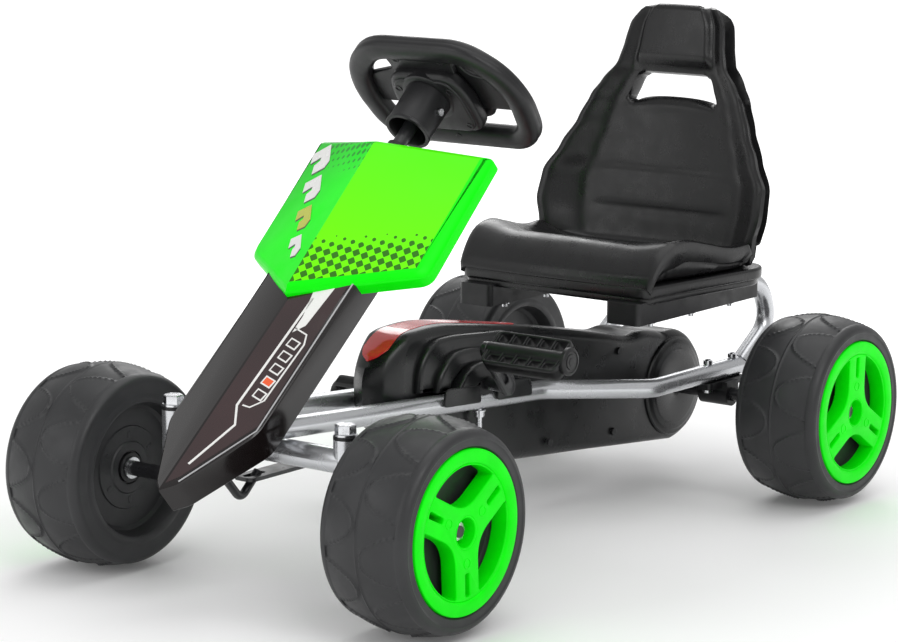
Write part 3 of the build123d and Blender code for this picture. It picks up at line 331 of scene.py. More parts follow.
def plate(bm, outlines, low, high, bevel, place, steps=3):
    """Flat piece with holes and rounded edges, between low and high along the place's local Z."""
    curve = bpy.data.curves.new("outline", "CURVE")
    curve.dimensions = "2D"
    curve.fill_mode = "BOTH"
    curve.extrude = max(0.0, (high - low) / 2 - bevel)
    curve.bevel_depth = bevel
    curve.bevel_resolution = steps
    curve.offset = -bevel
    for outline in outlines:
        spline = curve.splines.new("POLY")
        spline.points.add(len(outline) - 1)
        for point, (x, y) in zip(spline.points, outline):
            point.co = (x, y, 0, 1)
        spline.use_cyclic_u = True
    holder = bpy.data.objects.new("outline", curve)
    bpy.context.scene.collection.objects.link(holder)
    bpy.context.view_layer.update()
    me = bpy.data.meshes.new_from_object(holder)
    me.transform(place @ Matrix.Translation((0, 0, (low + high) / 2)))
    bm.from_mesh(me)
    bpy.data.objects.remove(holder)
    bpy.data.curves.remove(curve)
    bpy.data.meshes.remove(me)


def frame_at(origin, x_axis, z_axis):
    """Matrix with local Z along z_axis and local X near x_axis."""
    z = Vector(z_axis).normalized()
    x = (Vector(x_axis) - z * Vector(x_axis).dot(z)).normalized()
    y = z.cross(x)
    m = Matrix.Identity(4)
    for i, axis in enumerate((x, y, z, Vector(origin))):
        for j in range(3):
            m[j][i] = axis[j]
    return m


# ======================================================================================
# Wheels
# ======================================================================================
TREADS = 10


def tread_height(t, w, phase):
    """Raised leaf shapes that open to the shoulders, staggered either side of a centre seam."""
    across = (w - WHEEL_W / 2) / 51
    side = 1 if across > 0 else 0
    d = abs(across)
    pitch = 2 * pi / TREADS
    x = ((t + phase) / pitch + 0.5 * side) % 1.0 - 0.5
    tip = 0.10 + 0.92 * (abs(x) / 0.43) ** 2.3
    slope = 0.92 * 2.3 / 0.43 * (abs(x) / 0.43) ** 1.3 * 51 / 66
    gap = (d - tip) * 51 / sqrt(1 + slope * slope)
    ridge = max(0.0, 1 - abs(gap) / 2.4)
    ridge = ridge * ridge * (3 - 2 * ridge)
    plateau = min(1.0, max(0.0, gap / 2.6)) * 1.3
    seam = 0.9 * max(0.0, 1 - abs(w - WHEEL_W / 2) / 1.0)
    return max(ridge * 2.2, plateau) + seam - 2.4


def wheel(prefix, side, phase):
    axle_x = FRONT_X if prefix == "front" else REAR_X
    face_y = FRONT_FACE_Y if prefix == "front" else REAR_FACE_Y
    name = f"{prefix}_wheel_shell_{'left' if side > 0 else 'right'}"
    bm = bmesh.new()
    tread = []
    count = 56
    for k in range(count + 1):
        w = 11 + (WHEEL_W - 22) * k / count
        tread.append((WHEEL_R - 10.5 * ((w - WHEEL_W / 2) / 51) ** 2, w))
    outer = [(101.8, 95.6), (101.9, 96.6), (101.5, 98.6), (100.6, 100.8), (99.2, 102.8), (97.6, 104.3),
             (95.6, 105.3), (93.2, 105.6), (92.0, 105.0), (90.8, 104.7), (87.6, 105.0), (85.2, 104.8),
             (83.9, 103.4), (83.8, 99.6), (68.4, 99.4), (67.6, 83), (66, 80.6), (60, 79.5), (24, 78.5),
             (18.4, 80.4), (9.1, 80.4), (9.1, 50)]
    inside = [(9.1, 20)]
    inner = [(18, 20), (18, 17.6), (20, 17), (27, 17), (28.5, 18.6), (44, 18.8), (45, 20.4),
             (63.5, 20.6),
             (67.5, 17), (70.5, 4), (71.8, 1.2), (74, 0.2), (78, 0.0), (80, 1.0), (82, 1.2), (92, 0.6),
             (95.0, 0.5), (97.6, 1.7), (99.4, 3.4), (100.7, 5.4), (101.6, 7.6), (101.9, 9.4),
             (101.8, 10.4)]
    shape = tread + outer + inside + inner

    segments = 300
    rows = []
    for index, (r, w) in enumerate(shape):
        row = []
        for i in range(segments):
            t = 2 * pi * i / segments
            radius = r + (tread_height(t, w, phase) if index <= count else 0.0)
            row.append(bm.verts.new((axle_x + radius * cos(t), side * (face_y + w),
                                     WHEEL_R + radius * sin(t))))
        rows.append(row)
    for low, high in zip(rows, rows[1:] + rows[:1]):
        for i in range(segments):
            j = (i + 1) % segments
            bm.faces.new((low[i], low[j], high[j], high[i]))
    # small moulded marks round the hub on the inner side
    for i in range(6):
        t = 2 * pi * (i + 0.5) / 6
        spot = frame_at((axle_x + 35 * cos(t), side * (face_y + 19.4), WHEEL_R + 35 * sin(t)),
                        (cos(t), 0, sin(t)), (0, -side, 0))
        plate(bm, [rounded([(-4, -2), (4, -2), (4, 2), (-4, 2)], 1.2)], -1.0, 1.2, 0.5, spot, 1)
    return piece(bm, name + "_tyre", "wheel_plastic", BODY_OF[name], [name], sharp=32)


SPOKE_ANGLE = 88                    # the first spoke's angle in the outline, before the cap is turned


def hubcap(prefix, side, turn):
    """Ring, three tapered spokes with a slot each, and a deep hub funnel."""
    axle_x = FRONT_X if prefix == "front" else REAR_X
    face_y = FRONT_FACE_Y if prefix == "front" else REAR_FACE_Y
    name = f"{prefix}_hubcap_{'left' if side > 0 else 'right'}"
    centre = (axle_x, side * face_y, WHEEL_R)
    bm = bmesh.new()
    ring = [(83.0, 99.7), (83.0, 104.2), (82.3, 105.5), (80.8, 106.0), (71.0, 106.0), (69.2, 105.2),
            (68.0, 103.6), (67.2, 99.7)]
    revolve(bm, ring, centre, side, 144, closed=True)
    funnel = [(17.5, 97.0), (17.8, 102.5), (16.6, 104.3), (15.8, 104.5), (14.8, 103.6), (14.0, 88.0),
              (13.2, 84.6), (9.2, 84.2), (9.2, 81.2), (16.6, 81.2), (17.4, 90.0)]
    revolve(bm, funnel, centre, side, 72, closed=True)
    place = frame_at((axle_x, side * face_y, WHEEL_R), (-side, 0, 0), (0, side, 0))
    place = place @ Matrix.Rotation(radians(turn - SPOKE_ANGLE), 4, "Z")
    turn = SPOKE_ANGLE
    openings = []
    for k in range(3):
        a0 = radians(turn + 120 * k)
        a1 = radians(turn + 120 * (k + 1))
        inner_r, outer_r = 25.0, 66.5
        start = a0 + radians(36)
        end = a1 - radians(36)
        first, last = a0 + 18.5 / outer_r, a1 - 18.5 / outer_r
        arc = [(outer_r * cos(first + (last - first) * i / 14),
                outer_r * sin(first + (last - first) * i / 14))
               for i in range(15)]
        low = (31 * cos(start), 31 * sin(start))
        high = (31 * cos(end), 31 * sin(end))
        outline = [low] + arc + [high] + [((inner_r + 0.5) * cos((a0 + a1) / 2),
                                           (inner_r + 0.5) * sin((a0 + a1) / 2))]
        radii = [14] + [7] + [0] * 13 + [7] + [14] + [10]
        openings.append(rounded(outline, radii, 5))
    slots = []
    for k in range(3):
        a = radians(turn + 120 * k)
        box = [(41, -3.0), (64.5, -3.6), (64.5, 3.6), (41, 3.0)]
        turned = [(x * cos(a) - y * sin(a), x * sin(a) + y * cos(a)) for x, y in box]
        slots.append(rounded(turned, 2.4, 4))
    plate(bm, [circle(68.2, 120)] + openings + slots + [circle(16.5, 48)], 85.5, 104.4, 1.3, place, 3)
    for k in range(3):
        a = radians(turn + 120 * k)
        mark = frame_at(place @ Vector((31 * cos(a), 31 * sin(a), 104.2)), (1, 0, 0), (0, side, 0))
        plate(bm, [circle(5.6, 28), circle(4.1, 24)], -0.8, 0.7, 0.35, mark, 1)
    return piece(bm, name + "_cap", "hubcap_green", BODY_OF[name], [name], sharp=34)


for prefix, turn in (("front", 33), ("rear", 88)):
    for side in (1, -1):
        wheel(prefix, side, 0.12 * side + (0.2 if prefix == "rear" else 0.0))
        hubcap(prefix, side, turn if side > 0 else 180 - turn)

# ======================================================================================
# Folded shells: the shield and the nose. (u, v) runs along the crease and square to it.
# ======================================================================================
def inset_outline(points, amount):
    """Closed outline moved inwards by amount, corner by corner."""
    out = []
    count = len(points)
    area = sum(points[i - 1][0] * points[i][1] - points[i][0] * points[i - 1][1] for i in range(count))
    turn = 1 if area > 0 else -1
    for i in range(count):
        p = Vector(points[i])
        a = (p - Vector(points[i - 1])).normalized()
        b = (Vector(points[(i + 1) % count]) - p).normalized()
        na, nb = Vector((-a.y, a.x)) * turn, Vector((-b.y, b.x)) * turn
        miter = (na + nb)
        scale = amount / max(0.35, miter.dot(na))
        out.append(tuple(p + miter * scale))
    return out


class Fold:
    """Maps a flat symmetric outline onto two facets that meet at a crease."""

    def __init__(self, top, bottom, outer):
        self.top = Vector(top)
        self.crease = (Vector(bottom) - self.top).normalized()
        side = Vector(outer) - self.top
        self.side = (side - self.crease * side.dot(self.crease)).normalized()
        normal = self.crease.cross(self.side)
        self.inward = Vector((-normal.x, 0, -normal.z)).normalized()

    def at(self, u, v, drop=0.0):
        s = Vector((self.side.x, self.side.y if v >= 0 else -self.side.y, self.side.z))
        return self.top + self.crease * u + s * abs(v) + self.inward * drop


def folded_shell(bm, fold, half, loops):
    """Shell from nested loops of (inset, drop). half is the outline on the v > 0 side."""
    full = list(half) + [(u, -v) for u, v in reversed(half) if v > 0.001]
    rings = []
    for amount, drop in loops:
        moved = inset_outline(full, amount) if amount else full
        rings.append([bm.verts.new(fold.at(u, 0.0 if abs(v) < 0.01 else v, drop)) for u, v in moved])
    count = len(full)
    for low, high in zip(rings, rings[1:]):
        for i in range(count):
            j = (i + 1) % count
            bm.faces.new((low[i], low[j], high[j], high[i]))
    crossing = [i for i, (u, v) in enumerate(full) if abs(v) < 0.001]
    first, last = crossing[0], crossing[-1]
    for ring in (rings[0], rings[-1]):
        bm.faces.new([ring[i] for i in range(first, last + 1)])
        bm.faces.new([ring[i % count] for i in range(last, first + count + 1)])


def decal(bm, fold, outline, height=0.25, base=-0.1):
    """Thin raised print on one facet."""
    low = [bm.verts.new(fold.at(u, v, -base)) for u, v in outline]
    high = [bm.verts.new(fold.at(u, v, -height)) for u, v in outline]
    count = len(outline)
    bm.faces.new(high)
    bm.faces.new(list(reversed(low)))
    for i in range(count):
        j = (i + 1) % count
        bm.faces.new((low[i], low[j], high[j], high[i]))


def band(points, half_width):
    """Outline of a stripe of constant width along an open path."""
    left, right = [], []
    for i, p in enumerate(points):
        a = Vector(points[max(0, i - 1)])
        b = Vector(points[min(len(points) - 1, i + 1)])
        d = (b - a).normalized()
        n = Vector((-d.y, d.x)) * half_width
        left.append(tuple(Vector(p) + n))
        right.append(tuple(Vector(p) - n))
    return left + right[::-1]


shield_fold = Fold(SHIELD_TOP, SHIELD_BOTTOM, SHIELD_SIDE_POINT)
shield_half = rounded([(0, 0), (-26, 125), (136, 126), (208.7, 0)], [0, 7, 12, 0], 6)
bm = bmesh.new()
folded_shell(bm, shield_fold, shield_half,
             [(7.5, 0.0), (6.6, 0.15), (1.2, 3.6), (0.5, 4.6), (0, 6.2), (0, 17.2), (0.6, 17.9),
              (2.6, 17.9),
              (3.0, 17.0), (3.4, 6.6), (9.0, 3.2)])
piece(bm, "shield", "shield_green", "frame", ["nose_shield"], sharp=24)

white_ink = surface("white_ink", (0.78, 0.78, 0.76), 0.25, coat=0.4, mottle=0.03, grain=600,
                    grain_depth=0.00001, wear=0.02)
dark_ink = surface("dark_ink", (0.012, 0.02, 0.014), 0.25, coat=0.4, mottle=0.2, grain=600,
                   grain_depth=0.00001, wear=0.02)
maroon_ink = surface("maroon_ink", (0.022, 0.006, 0.007), 0.14, coat=0.7, mottle=0.25, mottle_scale=8,
                     grain=600, grain_depth=0.00001, wear=0.02)
# Painted highlight: this pale grey stands for the light caught along the nose's near edge, not for a printed
# line.
painted_edge_highlight = surface("painted_edge_highlight", (0.42, 0.42, 0.43), 0.25, coat=0.4, mottle=0.05, grain=600,
                   grain_depth=0.00001, wear=0.02)
red_ink = surface("red_ink", (0.80, 0.035, 0.04), 0.16, coat=0.6, mottle=0.06, grain=600,
                  grain_depth=0.00001, wear=0.02)

# Four plain slanted blocks in a row over the facet on the driver's right.
lime_ink = surface("lime_ink", (0.46, 0.50, 0.012), 0.25, coat=0.4, mottle=0.05, grain=600,
                   grain_depth=0.00001, wear=0.02)
bm_dark, bm_white, bm_lime = bmesh.new(), bmesh.new(), bmesh.new()
side = -1
start, end = Vector((-8, 104)), Vector((172, 20))
along = (end - start).normalized()
square = Vector((-along.y, along.x))
for k, (near_end, length, width) in enumerate(((0.01, 40, 34), (0.27, 38, 31), (0.52, 36, 27),
                                               (0.76, 34, 22))):
    corner = start.lerp(end, near_end)
    block = [(0, -width / 2 + 5), (length - 8, -width / 2), (length, -width / 2 + 6),
             (length - 3, width / 2 - 8),
             (length * 0.55, width / 2 - 8), (length * 0.5, 0), (length * 0.34, 0),
             (length * 0.32, width / 2),
             (-4, width / 2)]
    outline = [tuple(corner + along * a + square * b) for a, b in block]
    outline = [(u, side * v) for u, v in outline]
    decal(bm_dark, shield_fold, [(u + 2.2, v - side * 1.6) for u, v in outline], 0.2)
    decal(bm_lime if k == 2 else bm_white, shield_fold, outline, 0.4)
piece(bm_dark, "shield_blocks_shadow", "shield_green", "frame", material=dark_ink)
piece(bm_white, "shield_blocks", "shield_green", "frame", material=white_ink)
piece(bm_lime, "shield_block_lime", "shield_green", "frame", material=lime_ink)

# Nose fairing
NOSE_TOP = (313, 0, 298)
NOSE_LOW = (450, 0, 183)
NOSE_SIDE = (375.5, 60, 227.5)
nose_fold = Fold(NOSE_TOP, NOSE_LOW, NOSE_SIDE)
nose_half = rounded([(-32, 0), (-72, 61), (150, 61), (232, 14), (244, 0)], [0, 3, 9, 5, 0], 5)
bm = bmesh.new()
folded_shell(bm, nose_fold, nose_half,
             [(3.0, 0.0), (2.2, 0.2), (0.6, 1.4), (0.0, 3.2), (0, 33.0), (0.6, 33.8), (2.4, 33.8),
              (3.0, 33.0),
              (3.0, 6.0), (6.0, 3.2)])
piece(bm, "nose", "nose_black", "frame", ["nose_fairing"], sharp=24)

bm_maroon, bm_white, bm_edge_highlight, bm_orange = bmesh.new(), bmesh.new(), bmesh.new(), bmesh.new()
s = 1
panel = [(-28, 2.5), (-50, 54), (142, 56), (222, 13), (234, 2.5)]
decal(bm_maroon, nose_fold, [(u, v * s) for u, v in panel], 0.16)
line = [(-20, 27), (126, 22), (148, 33), (206, 13)]
decal(bm_white, nose_fold, [(u, v * s) for u, v in [(-34, 22), (-44, 43), (14, 38), (26, 29), (4, 29)]],
      0.4)
decal(bm_white, nose_fold, [(u, v * s) for u, v in band(line, 1.3)], 0.4)
capsule = [(20, 29), (24, 45), (36, 49), (112, 46), (124, 36), (124, 27.5)]
decal(bm_white, nose_fold, [(u, v * s) for u, v in band(capsule, 0.9)], 0.4)
# Painted highlight: a thin pale grey line along the near facet's outer edge, where light catches that edge.
decal(bm_edge_highlight, nose_fold, [(u, v * s) for u, v in band([(-56, 57.5), (147, 58), (228, 14.5)], 0.7)],
      0.4)
for k in range(5):
    u = 32 + 17 * k
    block = [(u, 32), (u + 11, 30.5), (u + 14, 43), (u + 3, 45)]
    inner = [(u + 2, 33.4), (u + 9.6, 32.2), (u + 11.8, 41.6), (u + 4.2, 43)]
    decal(bm_white, nose_fold, [(a, b * s) for a, b in block], 0.38)
    decal(bm_orange if k == 3 else bm_maroon, nose_fold, [(a, b * s) for a, b in inner], 0.5)
piece(bm_maroon, "nose_panels", "nose_black", "frame", material=maroon_ink)
piece(bm_white, "nose_lines_white", "nose_black", "frame", material=white_ink)
piece(bm_edge_highlight, "nose_painted_edge_highlight", "nose_black", "frame", material=painted_edge_highlight)
orange_ink = surface("orange_ink", (0.80, 0.10, 0.02), 0.2, coat=0.5, mottle=0.05, grain=600,
                     grain_depth=0.00001, wear=0.02)
piece(bm_orange, "nose_blocks_orange", "nose_black", "frame", material=orange_ink)


# ======================================================================================
# Seat: one sheet from the front roll over the pan and up the back, thickened
# ======================================================================================
SEAT_LOW_X = -376.0
SEAT_LOW_Z = 262.0
RECLINE = radians(10.5)
BACK_SCALE = 0.972
PAN_TOP = 285.0
PAN_REACH = 213.0
PAN_SHARE = 0.40                    # share of the sheet's length that the pan takes
BACK_LENGTH = 316.0
SHEET_THICKNESS = 30
SHEET_SHARE = 0.72
PAN_UNDERSIDE = 268.0


def lerp_table(table, t):
    """Smooth interpolation in a list of (position, value, ...) rows."""
    if t <= table[0][0]:
        return table[0][1:]
    for a, b in zip(table, table[1:]):
        if t <= b[0]:
            k = (t - a[0]) / (b[0] - a[0])
            k = k * k * (3 - 2 * k) * 0.6 + k * 0.4
            return tuple(x + (y - x) * k for x, y in zip(a[1:], b[1:]))
    return table[-1][1:]


# Half-width and side height up the back, by height along it.
BACK_SHAPE = [(0, 146, 30), (30, 158, 34), (60, 165, 36), (95, 163, 32), (130, 144, 26), (165, 126, 20),
              (196, 113, 17), (215, 100, 15), (240, 80, 13), (265, 74, 12), (290, 70, 10), (306, 60, 6),
              (316, 50, 0)]
HOLE = (190.0, 229.0, 0.56)         # heights of the hole's ends, and its half-width as a share


def back_point(h, v):
    """Front surface of the back at height h and share v of the half-width."""
    half, lift = lerp_table(BACK_SHAPE, h)
    a = abs(v)
    wing = max(0.0, (a - 0.62) / 0.38)
    rise = lift * (wing * wing * (3 - 2 * wing))
    roll = max(0.0, (a - 0.93) / 0.07)
    rise -= 9 * roll * roll
    dish = -4.5 * cos(min(1.0, a / 0.62) * pi / 2) if h < 190 else 0.0
    for groove in (58.0, 104.0):
        wide = max(0.0, 1 - abs(h - groove) / 5.5)
        dish -= 2.8 * wide * wide * (3 - 2 * wide) * (1 if a < 0.5 else max(0.0, 1 - (a - 0.5) / 0.12))
    if h > 236:
        pad = min(1.0, (h - 236) / 10) * min(1.0, max(0.0, (0.70 - a) / 0.08))
        rise += 12.0 * pad * (1 - 0.25 * a * a)
    y = half * v
    x = SEAT_LOW_X - h * BACK_SCALE * sin(RECLINE) + rise * cos(RECLINE) + dish * cos(RECLINE)
    z = SEAT_LOW_Z + h * BACK_SCALE * cos(RECLINE) + (rise + dish) * sin(RECLINE)
    return Vector((x, y, z))


def pan_point(d, v):
    """Top of the pan at distance d forward of the back, with a rolled front edge."""
    t = d / PAN_REACH
    half = 160 - 22 * max(0.0, t) ** 1.2
    a = abs(v)
    wing = max(0.0, (a - 0.55) / 0.45)
    side = 22 * (1 - min(1.0, max(0.0, t)) ** 1.6) * (wing * wing * (3 - 2 * wing))
    lift = min(1.0, max(0.0, (t - 0.2) / 0.5))
    lift = 24 * lift * lift * (3 - 2 * lift)
    hump = 10 * sin(pi * min(1.0, max(0.0, (t - 0.55) / 0.45))) * max(0.0, 1 - a * 0.4)
    dish = -7 * cos(min(1.0, a) * pi / 2) * sin(pi * min(1.0, t / 0.75))
    front = max(0.0, (t - 0.74) / 0.26)
    z = PAN_TOP - 6 + side + lift + hump * 0.5 + dish - 38 * front ** 2.4 - 8 * max(0.0,
            (a - 0.93) / 0.07) ** 2
    x = SEAT_LOW_X + d + 6 - 5 * a * a * t
    return Vector((x, half * v, z))


def seat_section(s, v):
    """The whole front surface: s from 0 at the pan's front to 1 at the headrest's top."""
    blend = 0.045
    if s < PAN_SHARE - blend:
        return pan_point(PAN_REACH * (1 - s / PAN_SHARE), v)
    if s > PAN_SHARE + blend:
        return back_point(BACK_LENGTH * (s - PAN_SHARE) / (1 - PAN_SHARE), v)
    k = (s - (PAN_SHARE - blend)) / (2 * blend)
    a = pan_point(PAN_REACH * blend / PAN_SHARE, v)
    b = back_point(BACK_LENGTH * blend / (1 - PAN_SHARE), v)
    corner = pan_point(0.0, v).lerp(back_point(0.0, v), 0.5)
    corner.x -= 4
    return a * (1 - k) ** 2 + corner * 2 * k * (1 - k) + b * k * k


def hole_share(h):
    return PAN_SHARE + 0.60 * h / BACK_LENGTH


SEAT_ROWS = sorted(set([i / 110 for i in range(111)] + [hole_share(HOLE[0]), hole_share(HOLE[1])]))
SEAT_COLUMNS = sorted(set([i / 32 for i in range(-32, 33)] + [-HOLE[2], HOLE[2]]))
bm = bmesh.new()
grid = [[bm.verts.new(seat_section(s, v)) for v in SEAT_COLUMNS] for s in SEAT_ROWS]
hole_low, hole_high = hole_share(HOLE[0]), hole_share(HOLE[1])
for i in range(len(SEAT_ROWS) - 1):
    for j in range(len(SEAT_COLUMNS) - 1):
        s = (SEAT_ROWS[i] + SEAT_ROWS[i + 1]) / 2
        v = (SEAT_COLUMNS[j] + SEAT_COLUMNS[j + 1]) / 2
        corner = min(abs(s - hole_low), abs(s - hole_high)) * BACK_LENGTH / 0.6
        cut = abs(v) < HOLE[2] - (0.05 if corner < 4 else 0.0)
        if hole_low < s < hole_high and cut:
            continue
        bm.faces.new((grid[i][j], grid[i][j + 1], grid[i + 1][j + 1], grid[i + 1][j]))
bmesh.ops.recalc_face_normals(bm, faces=bm.faces)
sheet_mesh = bpy.data.meshes.new("seat_sheet")
bm.to_mesh(sheet_mesh)
bm.free()
sheet_obj = bpy.data.objects.new("seat_sheet", sheet_mesh)
bpy.context.scene.collection.objects.link(sheet_obj)
up = sum((p.normal.z for p in sheet_mesh.polygons if p.center.z < 300), 0.0)
weights = sheet_obj.vertex_groups.new(name="thickness")
for vert in sheet_mesh.vertices:
    weights.add([vert.index], SHEET_SHARE, "REPLACE")
thick = sheet_obj.modifiers.new("thick", "SOLIDIFY")
thick.thickness = SHEET_THICKNESS
thick.offset = -1 if up > 0 else 1
thick.vertex_group = "thickness"
thick.use_even_offset = False
thick.use_quality_normals = True
bpy.context.view_layer.update()
solid = bpy.data.meshes.new_from_object(sheet_obj.evaluated_get(bpy.context.evaluated_depsgraph_get()))
bpy.data.objects.remove(sheet_obj)
bm = bmesh.new()
bm.from_mesh(solid)
bpy.data.meshes.remove(solid)
seat_floor = 248.8
for vert in bm.verts:
    if vert.co.z < 322 and vert.co.x > -366 and vert.normal.z < -0.35:
        vert.co.z = min(vert.co.z, PAN_UNDERSIDE)
    vert.co.z = max(vert.co.z, seat_floor)
for _ in range(2):
    bmesh.ops.smooth_vert(bm, verts=bm.verts, factor=0.5, use_axis_x=True, use_axis_y=True,
                          use_axis_z=True)
piece(bm, "seat_bucket", "seat_plastic", "frame", ["seat"], sharp=50)

# Skirt below the pan: a stepped box that the blocks stand out from.
bm = bmesh.new()
flat = Matrix.Identity(4)
skirt = [(-164, 132), (-372, 156), (-398, 140), (-398, -140), (-372, -156), (-164, -132)]
plate(bm, [rounded(skirt, 16)], 252, 266, 3.5, flat)
plate(bm, [rounded([(x - 3 if x > -200 else x + 3, y * 0.975) for x, y in skirt], 15)], 244.5, 254, 3,
      flat)
piece(bm, "seat_skirt", "seat_plastic", "frame")


def turned(bm, profile, place, segments=72, closed=True):
    """Turn (radius, height) pairs about the place's local Z."""
    rows = []
    for r, h in profile:
        rows.append([bm.verts.new(place @ Vector((r * cos(2 * pi * i / segments),
                                                  r * sin(2 * pi * i / segments), h)))
                     for i in range(segments)])
    pairs = list(zip(rows, rows[1:])) + ([(rows[-1], rows[0])] if closed else [])
    for low, high in pairs:
        for i in range(segments):
            j = (i + 1) % segments
            bm.faces.new((low[i], low[j], high[j], high[i]))


# ======================================================================================
# Steering wheel and collar, on the column's own axes
# ======================================================================================
COLUMN = frame_at(COLUMN_O, (0, -1, 0), COLUMN_DIR)
RIM_HALF = [(66, 68), (106, 32), (119, -12), (110, -66), (84, -90)]
RIM_PLANE = 34.0
rim_outer = rounded(RIM_HALF + [(-u, v) for u, v in reversed(RIM_HALF)], 26, 8)
rim_path = inset_outline(rim_outer, 13.5)


def rim_section(steps=28):
    """Cross-section of the rim, with a fine seam on its outer side where the shells meet."""
    out = []
    for k in range(steps):
        t = 2 * pi * k / steps
        c, s = cos(t), sin(t)
        a = 13.4 * (abs(c) ** 0.78) * (1 if c >= 0 else -1)
        b = 10.9 * (abs(s) ** 0.78) * (1 if s >= 0 else -1)
        if k == 0:
            a -= 0.7
        out.append((a, b))
    return out


def rim(low_side):
    """One shell of the rim: half of the cross-section all the way round."""
    bm = bmesh.new()
    section = [(a, b) for a, b in rim_section() if (b <= 0.01 if low_side else b >= -0.01)]
    section.sort(key=lambda p: atan2(p[1] if not low_side else -p[1], p[0]))
    count = len(rim_path)
    rows = []
    for i in range(count):
        p = Vector(rim_path[i])
        before, after = Vector(rim_path[i - 1]), Vector(rim_path[(i + 1) % count])
        d = (after - before).normalized()
        n = Vector((d.y, -d.x))
        if n.dot(p - Vector((0, -11))) < 0:
            n = -n
        rows.append([bm.verts.new(COLUMN @ Vector((p.x + n.x * a, p.y + n.y * a, RIM_PLANE + b)))
                     for a, b in section])
    for i in range(count):
        low, high = rows[i], rows[(i + 1) % count]
        for j in range(len(section) - 1):
            bm.faces.new((low[j], low[j + 1], high[j + 1], high[j]))
        bm.faces.new((low[-1], low[0], high[0], high[-1]))
    return bm


bm = rim(True)
hub_outline = rounded([(-50, -54), (50, -54), (52, 0), (40, 32), (-40, 32), (-52, 0)], 20, 6)
plate(bm, [hub_outline], 15.5, 34, 6, COLUMN, 5)
plate(bm, [rounded([(-44, -50), (44, -50), (44, 8), (34, 26), (-34, 26), (-44, 8)], 18, 6)], 13.4, 20,
      2, COLUMN, 3)
turned(bm, [(26.6, 13.0), (31, 13.2), (33, 14.5), (33, 22), (26.6, 22)], COLUMN)
plate(bm, [rounded([(-40, 22), (40, 22), (46, 55), (-46, 55)], 6)], 26.5, 34, 2, COLUMN, 3)
for u, v, d in ((-36, -40, 13.4), (36, -40, 13.4), (-34, 12, 13.4), (34, 12, 13.4), (-30, 44, 26.5),
                (30, 44, 26.5),
                (-92, -62, 24.4), (92, -62, 24.4), (-88, 26, 24.4), (88, 26, 24.4), (0, -72, 24.0)):
    spot = COLUMN @ Matrix.Translation((u, v, d))
    turned(bm, [(4.3, 0.8), (4.3, -0.3), (3.9, -0.7), (3.1, -0.7), (2.8, -0.2), (2.8, 0.8)], spot, 24)
piece(bm, "steering_wheel_lower", "steering_plastic", "steering", ["wheel_lower_shell"])

bm = rim(False)
spokes = [(-98, -34), (98, -34), (100, 6), (50, 20), (38, 56), (-38, 56), (-50, 20), (-100, 6)]
plate(bm, [rounded(spokes, 10, 5)], 34, 41.5, 2.6, COLUMN, 4)
plate(bm, [rounded([(-56, -52), (56, -52), (60, -6), (44, 40), (-44, 40), (-60, -6)], 20, 6)], 36, 45.5,
      4.5, COLUMN, 5)
plate(bm, [rounded([(-34, -38), (34, -38), (30, 22), (-30, 22)], 14, 6)], 44, 48.0, 2.0, COLUMN, 4)
for s in (-1, 1):
    plate(bm, [rounded([(s * 64, -26), (s * 92, -24), (s * 92, 0), (s * 66, 8)], 6)], 40, 43.5, 1.5,
          COLUMN, 3)
piece(bm, "steering_wheel_upper", "steering_plastic", "steering", ["wheel_upper_shell"])

bm = bmesh.new()
turned(bm, [(25.6, -36), (26.0, -35.4), (26.0, -32.5), (25.3, -32.0), (25.4, 0), (25.8, 12),
            (25.9, 20.8), (8.1, 20.8),
            (8.1, 7), (20.8, 6), (21.4, -20), (21.6, -35.2), (22.2, -36)], COLUMN, 96)
for k in range(6):
    t = radians(60 * k + 20)
    rib = COLUMN @ Matrix.Rotation(t, 4, "Z") @ Matrix.Translation((15, 0, -8))
    plate(bm, [rounded([(-6.6, -0.9), (6.2, -0.9), (6.2, 0.9), (-6.6, 0.9)], 0.4, 2)], -6, 15, 0.3, rib,
          1)
piece(bm, "steering_collar_sleeve", "steering_plastic", "steering", ["steering_collar"])


# ======================================================================================
# Chain case
# ======================================================================================
CASE_NOSE_X = 138                   # the case's front is rounded in plan ahead of this
CASE_NOSE_HALF = 30.6
CASE_HALF = 29.4


def case_half(x):
    """Half-width of the case at x: slim in front, wider round the sprocket."""
    if x > CASE_NOSE_X:
        return CASE_HALF
    k = min(1.0, max(0.0, (-20 - x) / 230))
    return CASE_HALF + 7.6 * k * k * (3 - 2 * k)


def spaced(points, step=9.0):
    """The same outline with its long runs divided."""
    out = []
    for a, b in zip(points, points[1:] + points[:1]):
        count = max(1, int(sqrt((b[0] - a[0]) ** 2 + (b[1] - a[1]) ** 2) / step))
        out += [(a[0] + (b[0] - a[0]) * i / count,
                 a[1] + (b[1] - a[1]) * i / count) for i in range(count)]
    return out


